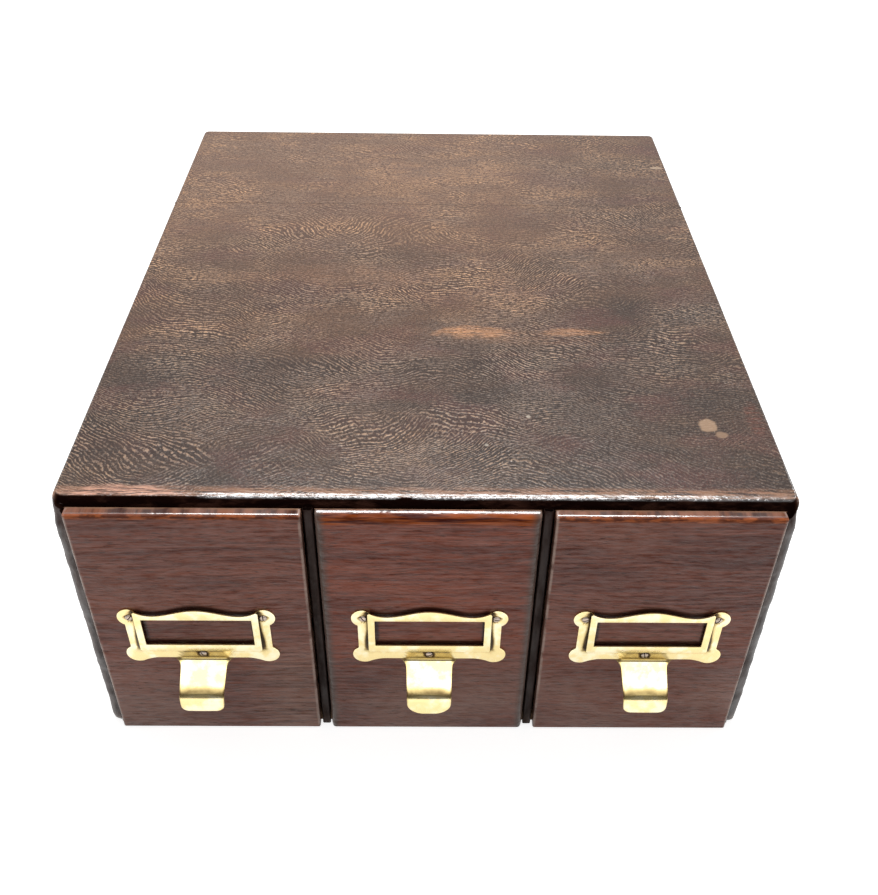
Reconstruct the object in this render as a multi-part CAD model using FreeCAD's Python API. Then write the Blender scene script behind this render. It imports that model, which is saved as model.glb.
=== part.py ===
"""Three-drawer desktop card cabinet: wooden carcass, lipped drawers, brass label pulls, card followers."""
import FreeCAD, Part
import math
import os

Vector = FreeCAD.Vector

# ---------------------------------------------------------------------------
# Driving sizes, in millimetres.  x is across, y runs from the carcass's front
# plane to its back, z is up from the surface it stands on.
# ---------------------------------------------------------------------------

# carcass
WIDTH = 500.0
DEPTH = 615.0
HEIGHT = 234.0
TOP_THICK = 12.7
TOP_LIP = 3.0               # what is left of the top over the ends of the sides
TOP_NOSE = 12.0             # round along the top's front edge
TOP_ARRIS = 2.0             # round along its ends and back
TOP_CORNER = 9.0            # front corners of the top, seen from above
TOP_JOINT = 440.0           # glue line between the two boards of the top
SIDE_THICK = 9.5
SIDE_NOSE = 9.0             # round on the outer front edge of each side
BOTTOM_THICK = 9.5
BACK_THICK = 9.5
DIVIDER_THICK = 6.35
DIVIDER_X = (-78.7, 80.9)   # middle of each divider
HOUSING = 3.0               # depth of the grooves that hold the dividers
FACING_THICK = 3.2          # strip on the front edge of each divider
FACING_DROP = 1.5           # its upper end, below the top surface

# drawers
FRONT_THICK = 15.8
LIP_PROUD = 5.0             # how far the lipped fronts stand out of the carcass
LIP_DROP = 3.0              # upper edge of a front, below the top surface
LIP_LIFT = 1.0              # lower edge of a front, above the floor
FRONT_SIDE_GAP = 1.25       # beside a front, to the side or divider
FRONT_FOOT_ROUND = 1.5
FRONT_TOP_ROUNDS = (3.0, 6.5, 3.5)
FRONT_END_ROUNDS = (1.8, 5.0, 1.8)
BOX_SIDE_THICK = 8.0
BOX_BACK_THICK = 8.0
BOX_HEIGHT = 115.0
BOX_SWEEP = 60.0            # concave sweep up to the front
BOX_SWEEP_FLAT = 6.0
BOX_REAR_GAP = 6.0          # between a closed drawer and the back panel
TAIL_LENGTH = 8.0           # half-blind dovetails into the front
TAIL_SLOPE = 1.0 / 7.0
TAIL_SHARE = 0.27           # half a tail's narrow end, as a share of the pitch
FRONT_TAILS = 5
REAR_TAILS = 4
PANEL_THICK = 4.0
PANEL_LIFT = 3.0            # groove for the bottom panel, above the side's edge
PANEL_GROOVE = 3.5
SLOT_MARGIN = 40.0          # the follower's slot ends this far behind the front

# clearances
RUN_GAP = 0.3               # under a drawer, under a follower
LIP_GAP = 0.3               # behind a lip, when it is shut
HEAD_GAP = 0.7              # over a front's inner part
STOP_GAP = 0.5
DRAWER_TRAVEL = 430.0

# stop blocks on the bottom board
STOP_LENGTH = 18.0
STOP_WIDTH = 22.0
STOP_HEIGHT = 2.3
STOP_TOE = 0.8              # height of its bevelled leading edge
STOP_SPREAD = 40.0          # from the middle of the bay

# brass label pulls, from the middle of their screws
PULL_Z = 112.7
PULL_SHIFT = (-3.0, 1.5, 0.0)
BRASS = 1.2
FLANGE_HALF = 51.9
FLANGE_FOOT = -24.1
LOBE_X = 47.8
LOBE_Z = 19.7
LOBE_RADIUS = 8.6
FRAME_HALF = 44.5
FRAME_FOOT = -14.3
FRAME_RAISE = 3.2           # outer face of the card frame, off the wood
APERTURE_HALF = 39.4
APERTURE_FOOT = -7.7
APERTURE_HEAD = 19.1
LOBE_LEAVE = 125.0          # where the upper rail leaves a lobe's circle, in degrees
RAIL_DIP_X = 31.0
RAIL_DIP = 23.0
RAIL_CREST = 28.8
RAIL_LOBE_PULL = 4.7        # reach of the rail's curve as it leaves a lobe
RAIL_DIP_PULL = 4.0         # its reach into the dip from a lobe
RAIL_CREST_PULL = 10.5      # its reach between a dip and the crest
TAB_NECK_HALF = 17.2
TAB_TIP_HALF = 16.2
TAB_ROOT_ROUND = 8.5        # concave fillet between the flange and the tab
TAB_TIP_ROUND = 10.0
TAB_BEND_Z = -26.0
TAB_KNEE_REACH = 24.5
TAB_KNEE_Z = -40.0
TAB_TIP_REACH = 27.0
TAB_TIP_Z = -55.7
TAB_BEND_ROUND = 3.0
TAB_KNEE_ROUND = 5.0

# screws: shank diameter, head diameter, shank length, head height
PULL_SCREW = (2.9, 5.6, 11.0, 1.3)
PULL_SINK = 6.4             # round recess for a head in the raised frame, across

# card followers
FOLLOWER_SIDE_GAP = 3.0
FOLLOWER_THICK = 6.0
FOLLOWER_HEIGHT = 140.0
FOLLOWER_CORNER = 12.0
FOLLOWER_LEAN = 12.0        # degrees, top towards the back
FOLLOWER_REST_GAP = 12.0    # behind its foot when it is at the back
BRACKET_THICK = 1.5
BRACKET_WIDTH = 38.0
BRACKET_FOOT = 55.0
BRACKET_RISE = 62.0
BRACKET_BEND = 2.5
RIVET_HEAD = 5.0            # the bracket's two rivets: head diameter, height, and place above the bend
RIVET_HEIGHT = 1.2
RIVET_RISE = 42.0
BOLT_Y = 33.0               # clamp bolt, behind the bracket's bend
BOLT_SHANK = 4.8
BOLT_HEAD = 12.0
BOLT_HEAD_THICK = 1.4
BOLT_FREE = 3.0             # thread that stands out of the nut
SLOT_WIDTH = 5.6
NUT_SIZE = 15.0
NUT_HEIGHT = 7.0
FIT = 0.1                   # round a shank, in a hole of its own body

# places that follow from the sizes above
HALF = WIDTH / 2
INNER_HALF = HALF - SIDE_THICK
SET_BACK = FACING_THICK + LIP_GAP
TOP_UNDER = HEIGHT - TOP_THICK
BACK_FACE = DEPTH - BACK_THICK
BOX_FOOT = BOTTOM_THICK + RUN_GAP
BOX_FRONT = FRONT_THICK - LIP_PROUD
BOX_REAR = BACK_FACE - BOX_REAR_GAP
BOX_BACK_Y = BOX_REAR - BOX_BACK_THICK
PANEL_UNDER = BOX_FOOT + PANEL_LIFT
FLOOR = PANEL_UNDER + PANEL_THICK
NAMES = ("left", "middle", "right")


# ---------------------------------------------------------------------------
# Shapes
# ---------------------------------------------------------------------------

def block(x0, x1, y0, y1, z0, z1):
    """A plain board between two corners."""
    return Part.makeBox(x1 - x0, y1 - y0, z1 - z0, Vector(x0, y0, z0))


def in_xy(a, b):
    return Vector(a, b, 0)


def in_xz(a, b):
    return Vector(a, 0, b)


def in_yz(a, b):
    return Vector(0, a, b)


def outline(corners, plane):
    """A flat face through corners (a, b, radius), each rounded by its radius."""
    ends = []
    count = len(corners)
    for i, (a, b, radius) in enumerate(corners):
        corner = Vector(a, b, 0)
        before = Vector(*corners[i - 1][:2], 0) - corner
        after = Vector(*corners[(i + 1) % count][:2], 0) - corner
        if radius:
            half_angle = before.getAngle(after) / 2
            reach = radius / math.tan(half_angle)
            middle = (before.normalize() + after.normalize()).normalize()
            apex = corner + middle * (radius / math.sin(half_angle) - radius)
            ends.append((corner + before * reach, apex, corner + after * reach))
        else:
            ends.append((corner, None, corner))
    edges = []
    for i, (start, apex, end) in enumerate(ends):
        last = ends[i - 1][2]
        if last.distanceToPoint(start) > 1e-6:
            edges.append(Part.LineSegment(plane(last.x, last.y), plane(start.x, start.y)).toShape())
        if apex:
            points = [plane(p.x, p.y) for p in (start, apex, end)]
            edges.append(Part.Arc(*points).toShape())
    return Part.Face(Part.Wire(edges))


def along_x(corners, x0, x1):
    """A section in y and z, carried from x0 to x1."""
    face = outline(corners, in_yz)
    face.translate(Vector(x0, 0, 0))
    return face.extrude(Vector(x1 - x0, 0, 0))


def along_y(corners, y0, y1):
    """A section in x and z, carried from y0 to y1."""
    face = outline(corners, in_xz)
    face.translate(Vector(0, y0, 0))
    return face.extrude(Vector(0, y1 - y0, 0))


def along_z(corners, z0, z1):
    """A section in x and y, carried from z0 to z1."""
    face = outline(corners, in_xy)
    face.translate(Vector(0, 0, z0))
    return face.extrude(Vector(0, 0, z1 - z0))


def bent_strip(path, thick):
    """Corners of a sheet's section: its middle line runs through (a, b, bend radius)."""
    near, far = [], []
    for i, (a, b, bend) in enumerate(path):
        here = Vector(a, b, 0)
        into = here - Vector(*path[i - 1][:2], 0) if i else None
        out = Vector(*path[i + 1][:2], 0) - here if i + 1 < len(path) else None
        into = (into or out).normalize()
        out = (out or into).normalize()
        normal = (Vector(-into.y, into.x, 0) + Vector(-out.y, out.x, 0)).normalize()
        half_turn = into.getAngle(out) / 2
        turn = math.copysign(1, into.x * out.y - into.y * out.x)
        offset = normal * (thick / 2 / math.cos(half_turn))
        left, right = here + offset, here - offset
        near.append((left.x, left.y, bend and bend - turn * thick / 2))
        far.append((right.x, right.y, bend and bend + turn * thick / 2))
    return near + far[::-1]


def cylinder(diameter, length, base, direction=Vector(0, 0, 1)):
    return Part.makeCylinder(diameter / 2, length, base, direction)


def screw(sizes, seat, direction):
    """A screw without its slot; seat is the middle of its head's rim, direction points into the wood."""
    shank, head, length, height = sizes
    body = Part.makeCone((head - height) / 2, head / 2, height, Vector(0, 0, -height))
    body = body.fuse(cylinder(shank, length, Vector(0, 0, 0))).removeSplitter()
    body.Placement = FreeCAD.Placement(seat, FreeCAD.Rotation(Vector(0, 0, 1), direction))
    return body


# ---------------------------------------------------------------------------
# Carcass
# ---------------------------------------------------------------------------

def carcass_side(hand):
    """Full-height side with its outer front edge rounded over."""
    inner, outer = hand * INNER_HALF, hand * HALF
    plan = [(inner, 0, 0), (outer, 0, SIDE_NOSE), (outer, DEPTH, 0), (inner, DEPTH, 0)]
    return along_z(plan, 0, HEIGHT - TOP_LIP)


def divider(x):
    """Partition between two bays, housed in the top and in the bottom board."""
    half = DIVIDER_THICK / 2
    return block(x - half, x + half, FACING_THICK, BACK_FACE, BOTTOM_THICK - HOUSING, TOP_UNDER + HOUSING)


def facing(x):
    """Thin strip that covers the divider's front edge from the floor to the top."""
    half = DIVIDER_THICK / 2
    return block(x - half, x + half, 0, FACING_THICK, 0, HEIGHT - FACING_DROP)


def top_boards(dividers):
    """Nosed top, rebated over the sides, in two boards that meet at the glue line."""
    nose = [(SET_BACK, TOP_UNDER, 0), (DEPTH, TOP_UNDER, 0), (DEPTH, HEIGHT, TOP_ARRIS),
            (SET_BACK, HEIGHT, TOP_NOSE)]
    lip = HEIGHT - TOP_LIP
    rebated = [(-INNER_HALF, TOP_UNDER, 0), (INNER_HALF, TOP_UNDER, 0), (INNER_HALF, lip, 0),
               (HALF, lip, 0), (HALF, HEIGHT, TOP_ARRIS), (-HALF, HEIGHT, TOP_ARRIS),
               (-HALF, lip, 0), (-INNER_HALF, lip, 0)]
    plan = [(-HALF, SET_BACK, TOP_CORNER), (HALF, SET_BACK, TOP_CORNER), (HALF, DEPTH, TOP_ARRIS),
            (-HALF, DEPTH, TOP_ARRIS)]
    top = along_x(nose, -HALF, HALF)
    top = top.common(along_y(rebated, 0, DEPTH))
    top = top.common(along_z(plan, 0, HEIGHT))
    for board in dividers:
        top = top.cut(board)
    front = top.common(block(-HALF, HALF, 0, TOP_JOINT, 0, HEIGHT))
    rear = top.common(block(-HALF, HALF, TOP_JOINT, DEPTH, 0, HEIGHT))
    return front, rear


def stop_blocks(middle):
    """Two bevelled blocks on the bottom board that catch the drawer's back."""
    rear = BOX_BACK_Y - DRAWER_TRAVEL - STOP_GAP
    section = [(rear, BOTTOM_THICK, 0), (rear, BOTTOM_THICK + STOP_HEIGHT, 0),
               (rear - STOP_LENGTH / 2, BOTTOM_THICK + STOP_HEIGHT, 0),
               (rear - STOP_LENGTH, BOTTOM_THICK + STOP_TOE, 0), (rear - STOP_LENGTH, BOTTOM_THICK, 0)]
    centres = (middle - STOP_SPREAD, middle + STOP_SPREAD)
    return [along_x(section, x - STOP_WIDTH / 2, x + STOP_WIDTH / 2) for x in centres]


def bays():
    """The clear width of each bay, left to right."""
    half = DIVIDER_THICK / 2
    walls = [-INNER_HALF]
    for x in DIVIDER_X:
        walls += [x - half, x + half]
    walls.append(INNER_HALF)
    return list(zip(walls[::2], walls[1::2]))


def build_carcass():
    dividers = [divider(x) for x in DIVIDER_X]
    top_front, top_rear = top_boards(dividers)
    bottom = block(-INNER_HALF, INNER_HALF, SET_BACK, BACK_FACE, 0, BOTTOM_THICK)
    back = block(-INNER_HALF, INNER_HALF, BACK_FACE, DEPTH, 0, TOP_UNDER)
    for board in dividers:
        bottom = bottom.cut(board)
    for strip in [facing(x) for x in DIVIDER_X]:
        bottom = bottom.cut(strip)
    stops = []
    for low, high in bays():
        stops += stop_blocks((low + high) / 2)
    return {
        "top_front_board": top_front,
        "top_rear_board": top_rear,
        "left_side": carcass_side(-1),
        "right_side": carcass_side(1),
        "left_divider": dividers[0],
        "right_divider": dividers[1],
        "left_facing_strip": facing(DIVIDER_X[0]),
        "right_facing_strip": facing(DIVIDER_X[1]),
        "bottom_board": bottom,
        "back_panel": back,
        "drawer_stop_blocks": Part.makeCompound(stops),
    }


# ---------------------------------------------------------------------------
# Drawers
# ---------------------------------------------------------------------------

def tails(y, outward, low, high, count):
    """Dovetails along a side's end, from its upper to its lower corner or back again."""
    points = []
    pitch = (high - low) / count
    base = pitch * TAIL_SHARE
    tip = base + TAIL_LENGTH * TAIL_SLOPE
    end = y + outward * TAIL_LENGTH
    centres = [high - pitch * (i + 0.5) for i in range(count)]
    for z in centres:
        points += [(y, z + base, 0), (end, z + tip, 0), (end, z - tip, 0), (y, z - base, 0)]
    return points if outward < 0 else points[::-1]


def box_side(x0, x1):
    """Drawer side: low, with a concave sweep up to the front and dovetails at both ends."""
    low, high = BOX_FOOT, BOX_FOOT + BOX_HEIGHT
    front_high = high + BOX_SWEEP
    section = [(BOX_FRONT, front_high, 0)]
    section += tails(BOX_FRONT, -1, low, front_high, FRONT_TAILS)
    section += [(BOX_FRONT, low, 0), (BOX_BACK_Y, low, 0)]
    section += tails(BOX_BACK_Y, 1, low, high, REAR_TAILS)
    section += [(BOX_BACK_Y, high, 0), (BOX_FRONT + BOX_SWEEP_FLAT, high, BOX_SWEEP)]
    section += [(BOX_FRONT + BOX_SWEEP_FLAT, front_high, 0)]
    return along_x(section, x0, x1)


def drawer_front(x0, x1, top_round, end_round):
    """Lipped front: the lip covers the carcass's edges, the inner part fills the bay."""
    rear_lip = FACING_THICK
    high, low = HEIGHT - LIP_DROP, LIP_LIFT
    section = [(-LIP_PROUD, low, FRONT_FOOT_ROUND), (rear_lip, low, 0), (rear_lip, BOX_FOOT, 0),
               (BOX_FRONT, BOX_FOOT, 0), (BOX_FRONT, TOP_UNDER - HEAD_GAP, 0),
               (rear_lip, TOP_UNDER - HEAD_GAP, 0), (rear_lip, high, 0), (-LIP_PROUD, high, top_round)]
    plan = [(x0, -LIP_PROUD, end_round), (x1, -LIP_PROUD, end_round), (x1, BOX_FRONT, 0),
            (x0, BOX_FRONT, 0)]
    return along_x(section, x0, x1).common(along_z(plan, 0, HEIGHT))


def bottom_panel(x0, x1, middle):
    """Thin panel let into grooves all round, with the long slot for the follower's bolt."""
    low, high = x0 + BOX_SIDE_THICK - PANEL_GROOVE, x1 - BOX_SIDE_THICK + PANEL_GROOVE
    panel = block(low, high, BOX_FRONT - PANEL_GROOVE, BOX_BACK_Y + PANEL_GROOVE, PANEL_UNDER, FLOOR)
    half = SLOT_WIDTH / 2
    start, end = BOX_FRONT + SLOT_MARGIN + half, BOX_BACK_Y - FOLLOWER_REST_GAP - half
    slot = block(middle - half, middle + half, start, end, PANEL_UNDER, FLOOR)
    for y in (start, end):
        slot = slot.fuse(cylinder(SLOT_WIDTH, PANEL_THICK, Vector(middle, y, PANEL_UNDER)))
    return panel, panel.cut(slot)


def swing(start, start_pull, end, end_pull):
    """Smooth curve between two points (x, z) that leaves and arrives along the given reaches."""
    poles = [start, (start[0] + start_pull[0], start[1] + start_pull[1]),
             (end[0] + end_pull[0], end[1] + end_pull[1]), end]
    curve = Part.BezierCurve()
    curve.setPoles([in_xz(a, b) for a, b in poles])
    return curve.toShape()


def card_frame():
    """The raised frame's front view: uprights that end on the lobes, joined above by a serpentine rail."""
    leave = math.radians(LOBE_LEAVE)
    meet = math.acos((FRAME_HALF - LOBE_X) / LOBE_RADIUS)
    shoulder = LOBE_Z + LOBE_RADIUS * math.sin(meet)
    uprights = [(-FRAME_HALF, shoulder), (-FRAME_HALF, FRAME_FOOT), (FRAME_HALF, FRAME_FOOT),
                (FRAME_HALF, shoulder)]
    edges = [Part.makePolygon([in_xz(*corner) for corner in uprights])]
    for hand in (-1, 1):
        on_lobe = [(hand * (LOBE_X + LOBE_RADIUS * math.cos(turn)), LOBE_Z + LOBE_RADIUS * math.sin(turn))
                   for turn in (meet, (meet + leave) / 2, leave)]
        reach = (-hand * RAIL_LOBE_PULL * math.sin(leave), RAIL_LOBE_PULL * math.cos(leave))
        dip, crest = (hand * RAIL_DIP_X, RAIL_DIP), (0.0, RAIL_CREST)
        edges += [
            Part.Arc(*[in_xz(*point) for point in on_lobe]).toShape(),
            swing(on_lobe[-1], reach, dip, (hand * RAIL_DIP_PULL, 0.0)),
            swing(dip, (-hand * RAIL_CREST_PULL, 0.0), crest, (hand * RAIL_CREST_PULL, 0.0)),
        ]
    return Part.Face(Part.Wire(Part.__sortEdges__([e for shape in edges for e in shape.Edges])))


def label_pull():
    """One brass pressing: flange with four lobes, raised card frame open above, and finger tab.

    Drawn about the middle of its screws, with its back on y = 0 and its front towards -y.
    """
    out = Vector(0, -1, 0)
    flange = block(-FLANGE_HALF, FLANGE_HALF, -BRASS, 0, FLANGE_FOOT, LOBE_Z)
    for x in (-LOBE_X, LOBE_X):
        for z in (-LOBE_Z, LOBE_Z):
            flange = flange.fuse(cylinder(2 * LOBE_RADIUS, BRASS, Vector(x, 0, z), out))
    frame = card_frame().extrude(out * FRAME_RAISE)
    pocket = block(-FRAME_HALF + BRASS, FRAME_HALF - BRASS, -FRAME_RAISE + BRASS, 0,
                   FRAME_FOOT + BRASS, RAIL_CREST + LOBE_RADIUS)
    aperture = block(-APERTURE_HALF, APERTURE_HALF, -FRAME_RAISE, 0, APERTURE_FOOT, APERTURE_HEAD)
    tab_path = [(-BRASS / 2, FLANGE_FOOT + BRASS, 0), (-BRASS / 2, TAB_BEND_Z, TAB_BEND_ROUND),
                (-TAB_KNEE_REACH, TAB_KNEE_Z, TAB_KNEE_ROUND), (-TAB_TIP_REACH, TAB_TIP_Z, 0)]
    root_half = TAB_NECK_HALF + TAB_ROOT_ROUND + BRASS
    tab = along_x(bent_strip(tab_path, BRASS), -root_half, root_half)
    low = TAB_TIP_Z - BRASS
    tab_view = [(-TAB_TIP_HALF, low, TAB_TIP_ROUND), (TAB_TIP_HALF, low, TAB_TIP_ROUND),
                (TAB_NECK_HALF, FLANGE_FOOT, TAB_ROOT_ROUND), (root_half, FLANGE_FOOT, 0),
                (root_half, 0, 0), (-root_half, 0, 0), (-root_half, FLANGE_FOOT, 0),
                (-TAB_NECK_HALF, FLANGE_FOOT, TAB_ROOT_ROUND)]
    tab = tab.common(along_y(tab_view, -2 * TAB_TIP_REACH, 0))
    pull = flange.cut(pocket).fuse(frame.cut(pocket).cut(aperture)).fuse(tab)
    for x, z in pull_screw_places():
        pull = pull.cut(cylinder(PULL_SCREW[0] + FIT, BRASS, Vector(x, 0, z), out))
        pull = pull.cut(cylinder(PULL_SINK, FRAME_RAISE, Vector(x, -BRASS, z), out))
    return pull.removeSplitter()


def pull_screw_places():
    return [(-LOBE_X, LOBE_Z), (LOBE_X, LOBE_Z), (0.0, -LOBE_Z)]


def follower_parts(middle, inside):
    """Leaning card follower: board, bent and riveted bracket, clamp bolt and thumb nut."""
    lean = math.radians(FOLLOWER_LEAN)
    up = Vector(0, math.sin(lean), math.cos(lean))
    ahead = Vector(0, -math.cos(lean), math.sin(lean))
    foot_z = FLOOR + RUN_GAP + BRACKET_THICK / 2
    bend_y = BOX_BACK_Y - FOLLOWER_REST_GAP - BRACKET_FOOT
    bend = Vector(0, bend_y, foot_z)
    head = bend + up * BRACKET_RISE
    path = [(bend_y + BRACKET_FOOT, foot_z, 0), (bend_y, foot_z, BRACKET_BEND), (head.y, head.z, 0)]
    half_width = BRACKET_WIDTH / 2
    bracket = along_x(bent_strip(path, BRACKET_THICK), middle - half_width, middle + half_width)

    seat = bend + up * BRACKET_BEND + ahead * (BRACKET_THICK / 2)
    half = inside / 2 - FOLLOWER_SIDE_GAP
    view = [(-half, 0, 0), (half, 0, 0), (half, FOLLOWER_HEIGHT, FOLLOWER_CORNER),
            (-half, FOLLOWER_HEIGHT, FOLLOWER_CORNER)]
    board = along_y(view, -FOLLOWER_THICK, 0)
    board.rotate(Vector(0, 0, 0), Vector(1, 0, 0), -FOLLOWER_LEAN)
    board.translate(Vector(middle, seat.y, seat.z))

    for side in (-1, 1):
        rivet = bend + up * RIVET_RISE - ahead * (BRACKET_THICK / 2 + RIVET_HEIGHT)
        rivet.x = middle + side * half_width / 2
        bracket = bracket.fuse(cylinder(RIVET_HEAD, RIVET_HEIGHT, rivet, ahead))

    bolt_y = bend_y + BOLT_Y
    foot_top = FLOOR + RUN_GAP + BRACKET_THICK
    head_top = PANEL_UNDER - RUN_GAP
    crown = Vector(middle, bolt_y, head_top - BOLT_HEAD_THICK)
    bolt = cylinder(BOLT_HEAD, BOLT_HEAD_THICK, crown)
    bolt = bolt.fuse(cylinder(BOLT_SHANK, foot_top + NUT_HEIGHT + BOLT_FREE - crown.z, crown))
    hole = cylinder(BOLT_SHANK + 2 * FIT, FLOOR, Vector(middle, bolt_y, FLOOR))
    bracket = bracket.cut(hole).removeSplitter()
    nut = cylinder(NUT_SIZE, NUT_HEIGHT, Vector(middle, bolt_y, foot_top)).cut(hole)
    return {
        "follower_board": board,
        "follower_bracket": bracket,
        "follower_bolt": bolt.removeSplitter(),
        "follower_thumb_nut": nut,
    }


def build_drawer(bay, top_round, end_round, shift):
    low, high = bay[0] + FRONT_SIDE_GAP, bay[1] - FRONT_SIDE_GAP
    middle = (low + high) / 2
    sides = [box_side(low, low + BOX_SIDE_THICK), box_side(high - BOX_SIDE_THICK, high)]
    tongue, panel = bottom_panel(low, high, middle)
    front = drawer_front(low, high, top_round, end_round).cut(tongue)
    back = block(low, high, BOX_BACK_Y, BOX_REAR, BOX_FOOT, BOX_FOOT + BOX_HEIGHT).cut(tongue)
    for side in sides:
        front, back = front.cut(side), back.cut(side)
    sides = [side.cut(tongue) for side in sides]

    place = Vector(middle + shift, -LIP_PROUD, PULL_Z)
    pull = label_pull()
    pull.translate(place)
    screws = [screw(PULL_SCREW, place + Vector(x, -BRASS, z), Vector(0, 1, 0))
              for x, z in pull_screw_places()]
    for one in screws:
        front = front.cut(one)

    parts = {
        "front": front,
        "left_board": sides[0],
        "right_board": sides[1],
        "back_board": back,
        "bottom_panel": panel,
        "label_pull": pull,
        "pull_screws": Part.makeCompound(screws),
    }
    parts.update(follower_parts(middle, high - low - 2 * BOX_SIDE_THICK))
    return parts


# ---------------------------------------------------------------------------
# Everything, moved so that the origin lies under the middle of the closed cabinet
# ---------------------------------------------------------------------------

def build():
    nodes = build_carcass()
    for i, bay in enumerate(bays()):
        drawer = build_drawer(bay, FRONT_TOP_ROUNDS[i], FRONT_END_ROUNDS[i], PULL_SHIFT[i])
        for name, shape in drawer.items():
            nodes[NAMES[i] + "_drawer_" + name] = shape
    whole = FreeCAD.BoundBox()
    for shape in nodes.values():
        whole.add(shape.BoundBox)
    for shape in nodes.values():
        shape.translate(Vector(0, -whole.Center.y, 0))
    return nodes


def main():
    os.makedirs("parts", exist_ok=True)
    for name, shape in build().items():
        shape.exportStep("parts/" + name + ".step")
        box = shape.BoundBox
        print("%-34s solids %d  x %8.2f %8.2f  y %8.2f %8.2f  z %7.2f %7.2f  valid %s" % (
            name, len(shape.Solids), box.XMin, box.XMax, box.YMin, box.YMax, box.ZMin, box.ZMax,
            shape.isValid()))


main()
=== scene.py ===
"""Looks of a three-drawer desktop card cabinet: old varnished wood, brass label pulls, card followers.

Run as a script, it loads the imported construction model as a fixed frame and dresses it. Every length is in
metres, in the frame's own axes: x to the right, y from the drawer fronts to the back, z up from the desk.
"""
import math

import bmesh
import bpy
import numpy as np
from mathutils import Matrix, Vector


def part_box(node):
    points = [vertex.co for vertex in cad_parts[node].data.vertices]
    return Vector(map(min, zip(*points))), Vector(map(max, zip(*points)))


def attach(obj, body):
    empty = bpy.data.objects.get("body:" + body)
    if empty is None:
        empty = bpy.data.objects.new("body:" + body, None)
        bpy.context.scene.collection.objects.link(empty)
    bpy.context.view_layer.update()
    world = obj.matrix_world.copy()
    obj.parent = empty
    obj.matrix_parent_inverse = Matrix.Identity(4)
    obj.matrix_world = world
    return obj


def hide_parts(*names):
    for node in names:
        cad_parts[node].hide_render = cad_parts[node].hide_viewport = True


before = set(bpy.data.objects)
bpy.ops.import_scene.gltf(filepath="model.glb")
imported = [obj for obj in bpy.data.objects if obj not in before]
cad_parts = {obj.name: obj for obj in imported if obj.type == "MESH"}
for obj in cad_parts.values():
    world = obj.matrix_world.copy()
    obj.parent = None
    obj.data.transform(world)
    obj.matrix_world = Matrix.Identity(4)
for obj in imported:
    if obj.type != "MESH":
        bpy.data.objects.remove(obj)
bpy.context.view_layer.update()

bl_info = {
    "name": "Card Cabinet Looks",
    "version": (1, 0, 0),
    "blender": (4, 5, 0),
    "location": "3D Viewport > Sidebar > Card Cabinet",
    "description": "Old varnish, brass and steel for a three-drawer card cabinet",
    "category": "Add Mesh",
}

BAYS = ("left", "middle", "right")
MM = 0.001
SEED = 7
IN_SHADE = 0.55              # how much darker the wood between the drawers is, from 0 to 1
CORNER_STEPS = 8             # points of a quarter circle in plan
FACE_STEPS = 33              # points across a face of the finger tab
RIM_STEPS = 5                # points round each long edge of the finger tab
NOSE_REACH = 12 * MM         # worn places nearer the front edge than this are bare fibre
GRIME_AND_SHADE_TURN = (14, 24)        # degrees round the nose over which its grime and painted shade begin
GLOSS_REACH = (40 * MM, 30 * MM)   # how far behind the front edge the nose's gloss has gone, and is whole
FOOT_REACH = 10 * MM         # height of a side's worn foot
HEAD_REACH = 40 * MM         # how far behind its front a side's head stops being drawn back
HEAD_GAP = 0.4 * MM          # from the top's front edge back to a side's head
WEAR_REACH = 20 * MM         # how far behind its front an upright board is ragged
SCREW_SINK = 0.25 * MM       # how far a screw's head lies in the brass


# --- Settings that a user would change --------------------

def length(name, description, millimetres):
    """A length, given in millimetres and kept in metres."""
    return bpy.props.FloatProperty(name=name, description=description, default=millimetres * MM,
                                   subtype="DISTANCE", unit="LENGTH", precision=5)


def share(name, description, default):
    """A number from 0 to 1."""
    return bpy.props.FloatProperty(name=name, description=description, default=default,
                                   min=0.0, max=1.0, subtype="FACTOR")


def tint(name, description, default):
    """A linear colour."""
    return bpy.props.FloatVectorProperty(name=name, description=description, default=default,
                                         size=3, min=0.0, max=1.0, subtype="COLOR")


class CarcassSettings(bpy.types.PropertyGroup):
    """Edges of the carcass's boards."""
    nose: length("Top nose", "Round along the front edge of the top", 12.0)
    end_round: length("Top ends", "Round along the ends of the top", 2.6)
    back_round: length("Top back", "Round along the back of the top", 1.6)
    left_corner: length("Left corner", "Front left corner of the top, in plan", 12.0)
    right_corner: length("Right corner", "Front right corner of the top, in plan", 10.0)
    joint_round: length("Joint", "Round along the glue line of the top", 0.25)
    lip: length("Lip", "Thickness of the top over the ends of the sides", 3.0)
    side_nose: length("Side nose", "Round on the outer front edge of a side", 9.0)
    ripple: length("Ripple", "How far worn edges wander", 0.28)
    foot_wear: length("Foot wear", "How far a side's front foot is worn away", 3.5)


class FrontSettings(bpy.types.PropertyGroup):
    """Rounded edges of the drawer fronts, left, middle and right."""
    top_rounds: bpy.props.FloatVectorProperty(
        name="Upper rounds", description="Round along the upper edge of each front", size=3,
        default=(3.0 * MM, 6.5 * MM, 3.5 * MM), subtype="XYZ", unit="LENGTH")
    end_rounds: bpy.props.FloatVectorProperty(
        name="End rounds", description="Round along the ends of each front", size=3,
        default=(1.8 * MM, 5.0 * MM, 1.8 * MM), subtype="XYZ", unit="LENGTH")
    foot_round: length("Foot round", "Round along the lower edge of a front", 1.5)
    corner: length("Corner", "Corner of a front, seen from ahead", 1.6)


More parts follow.
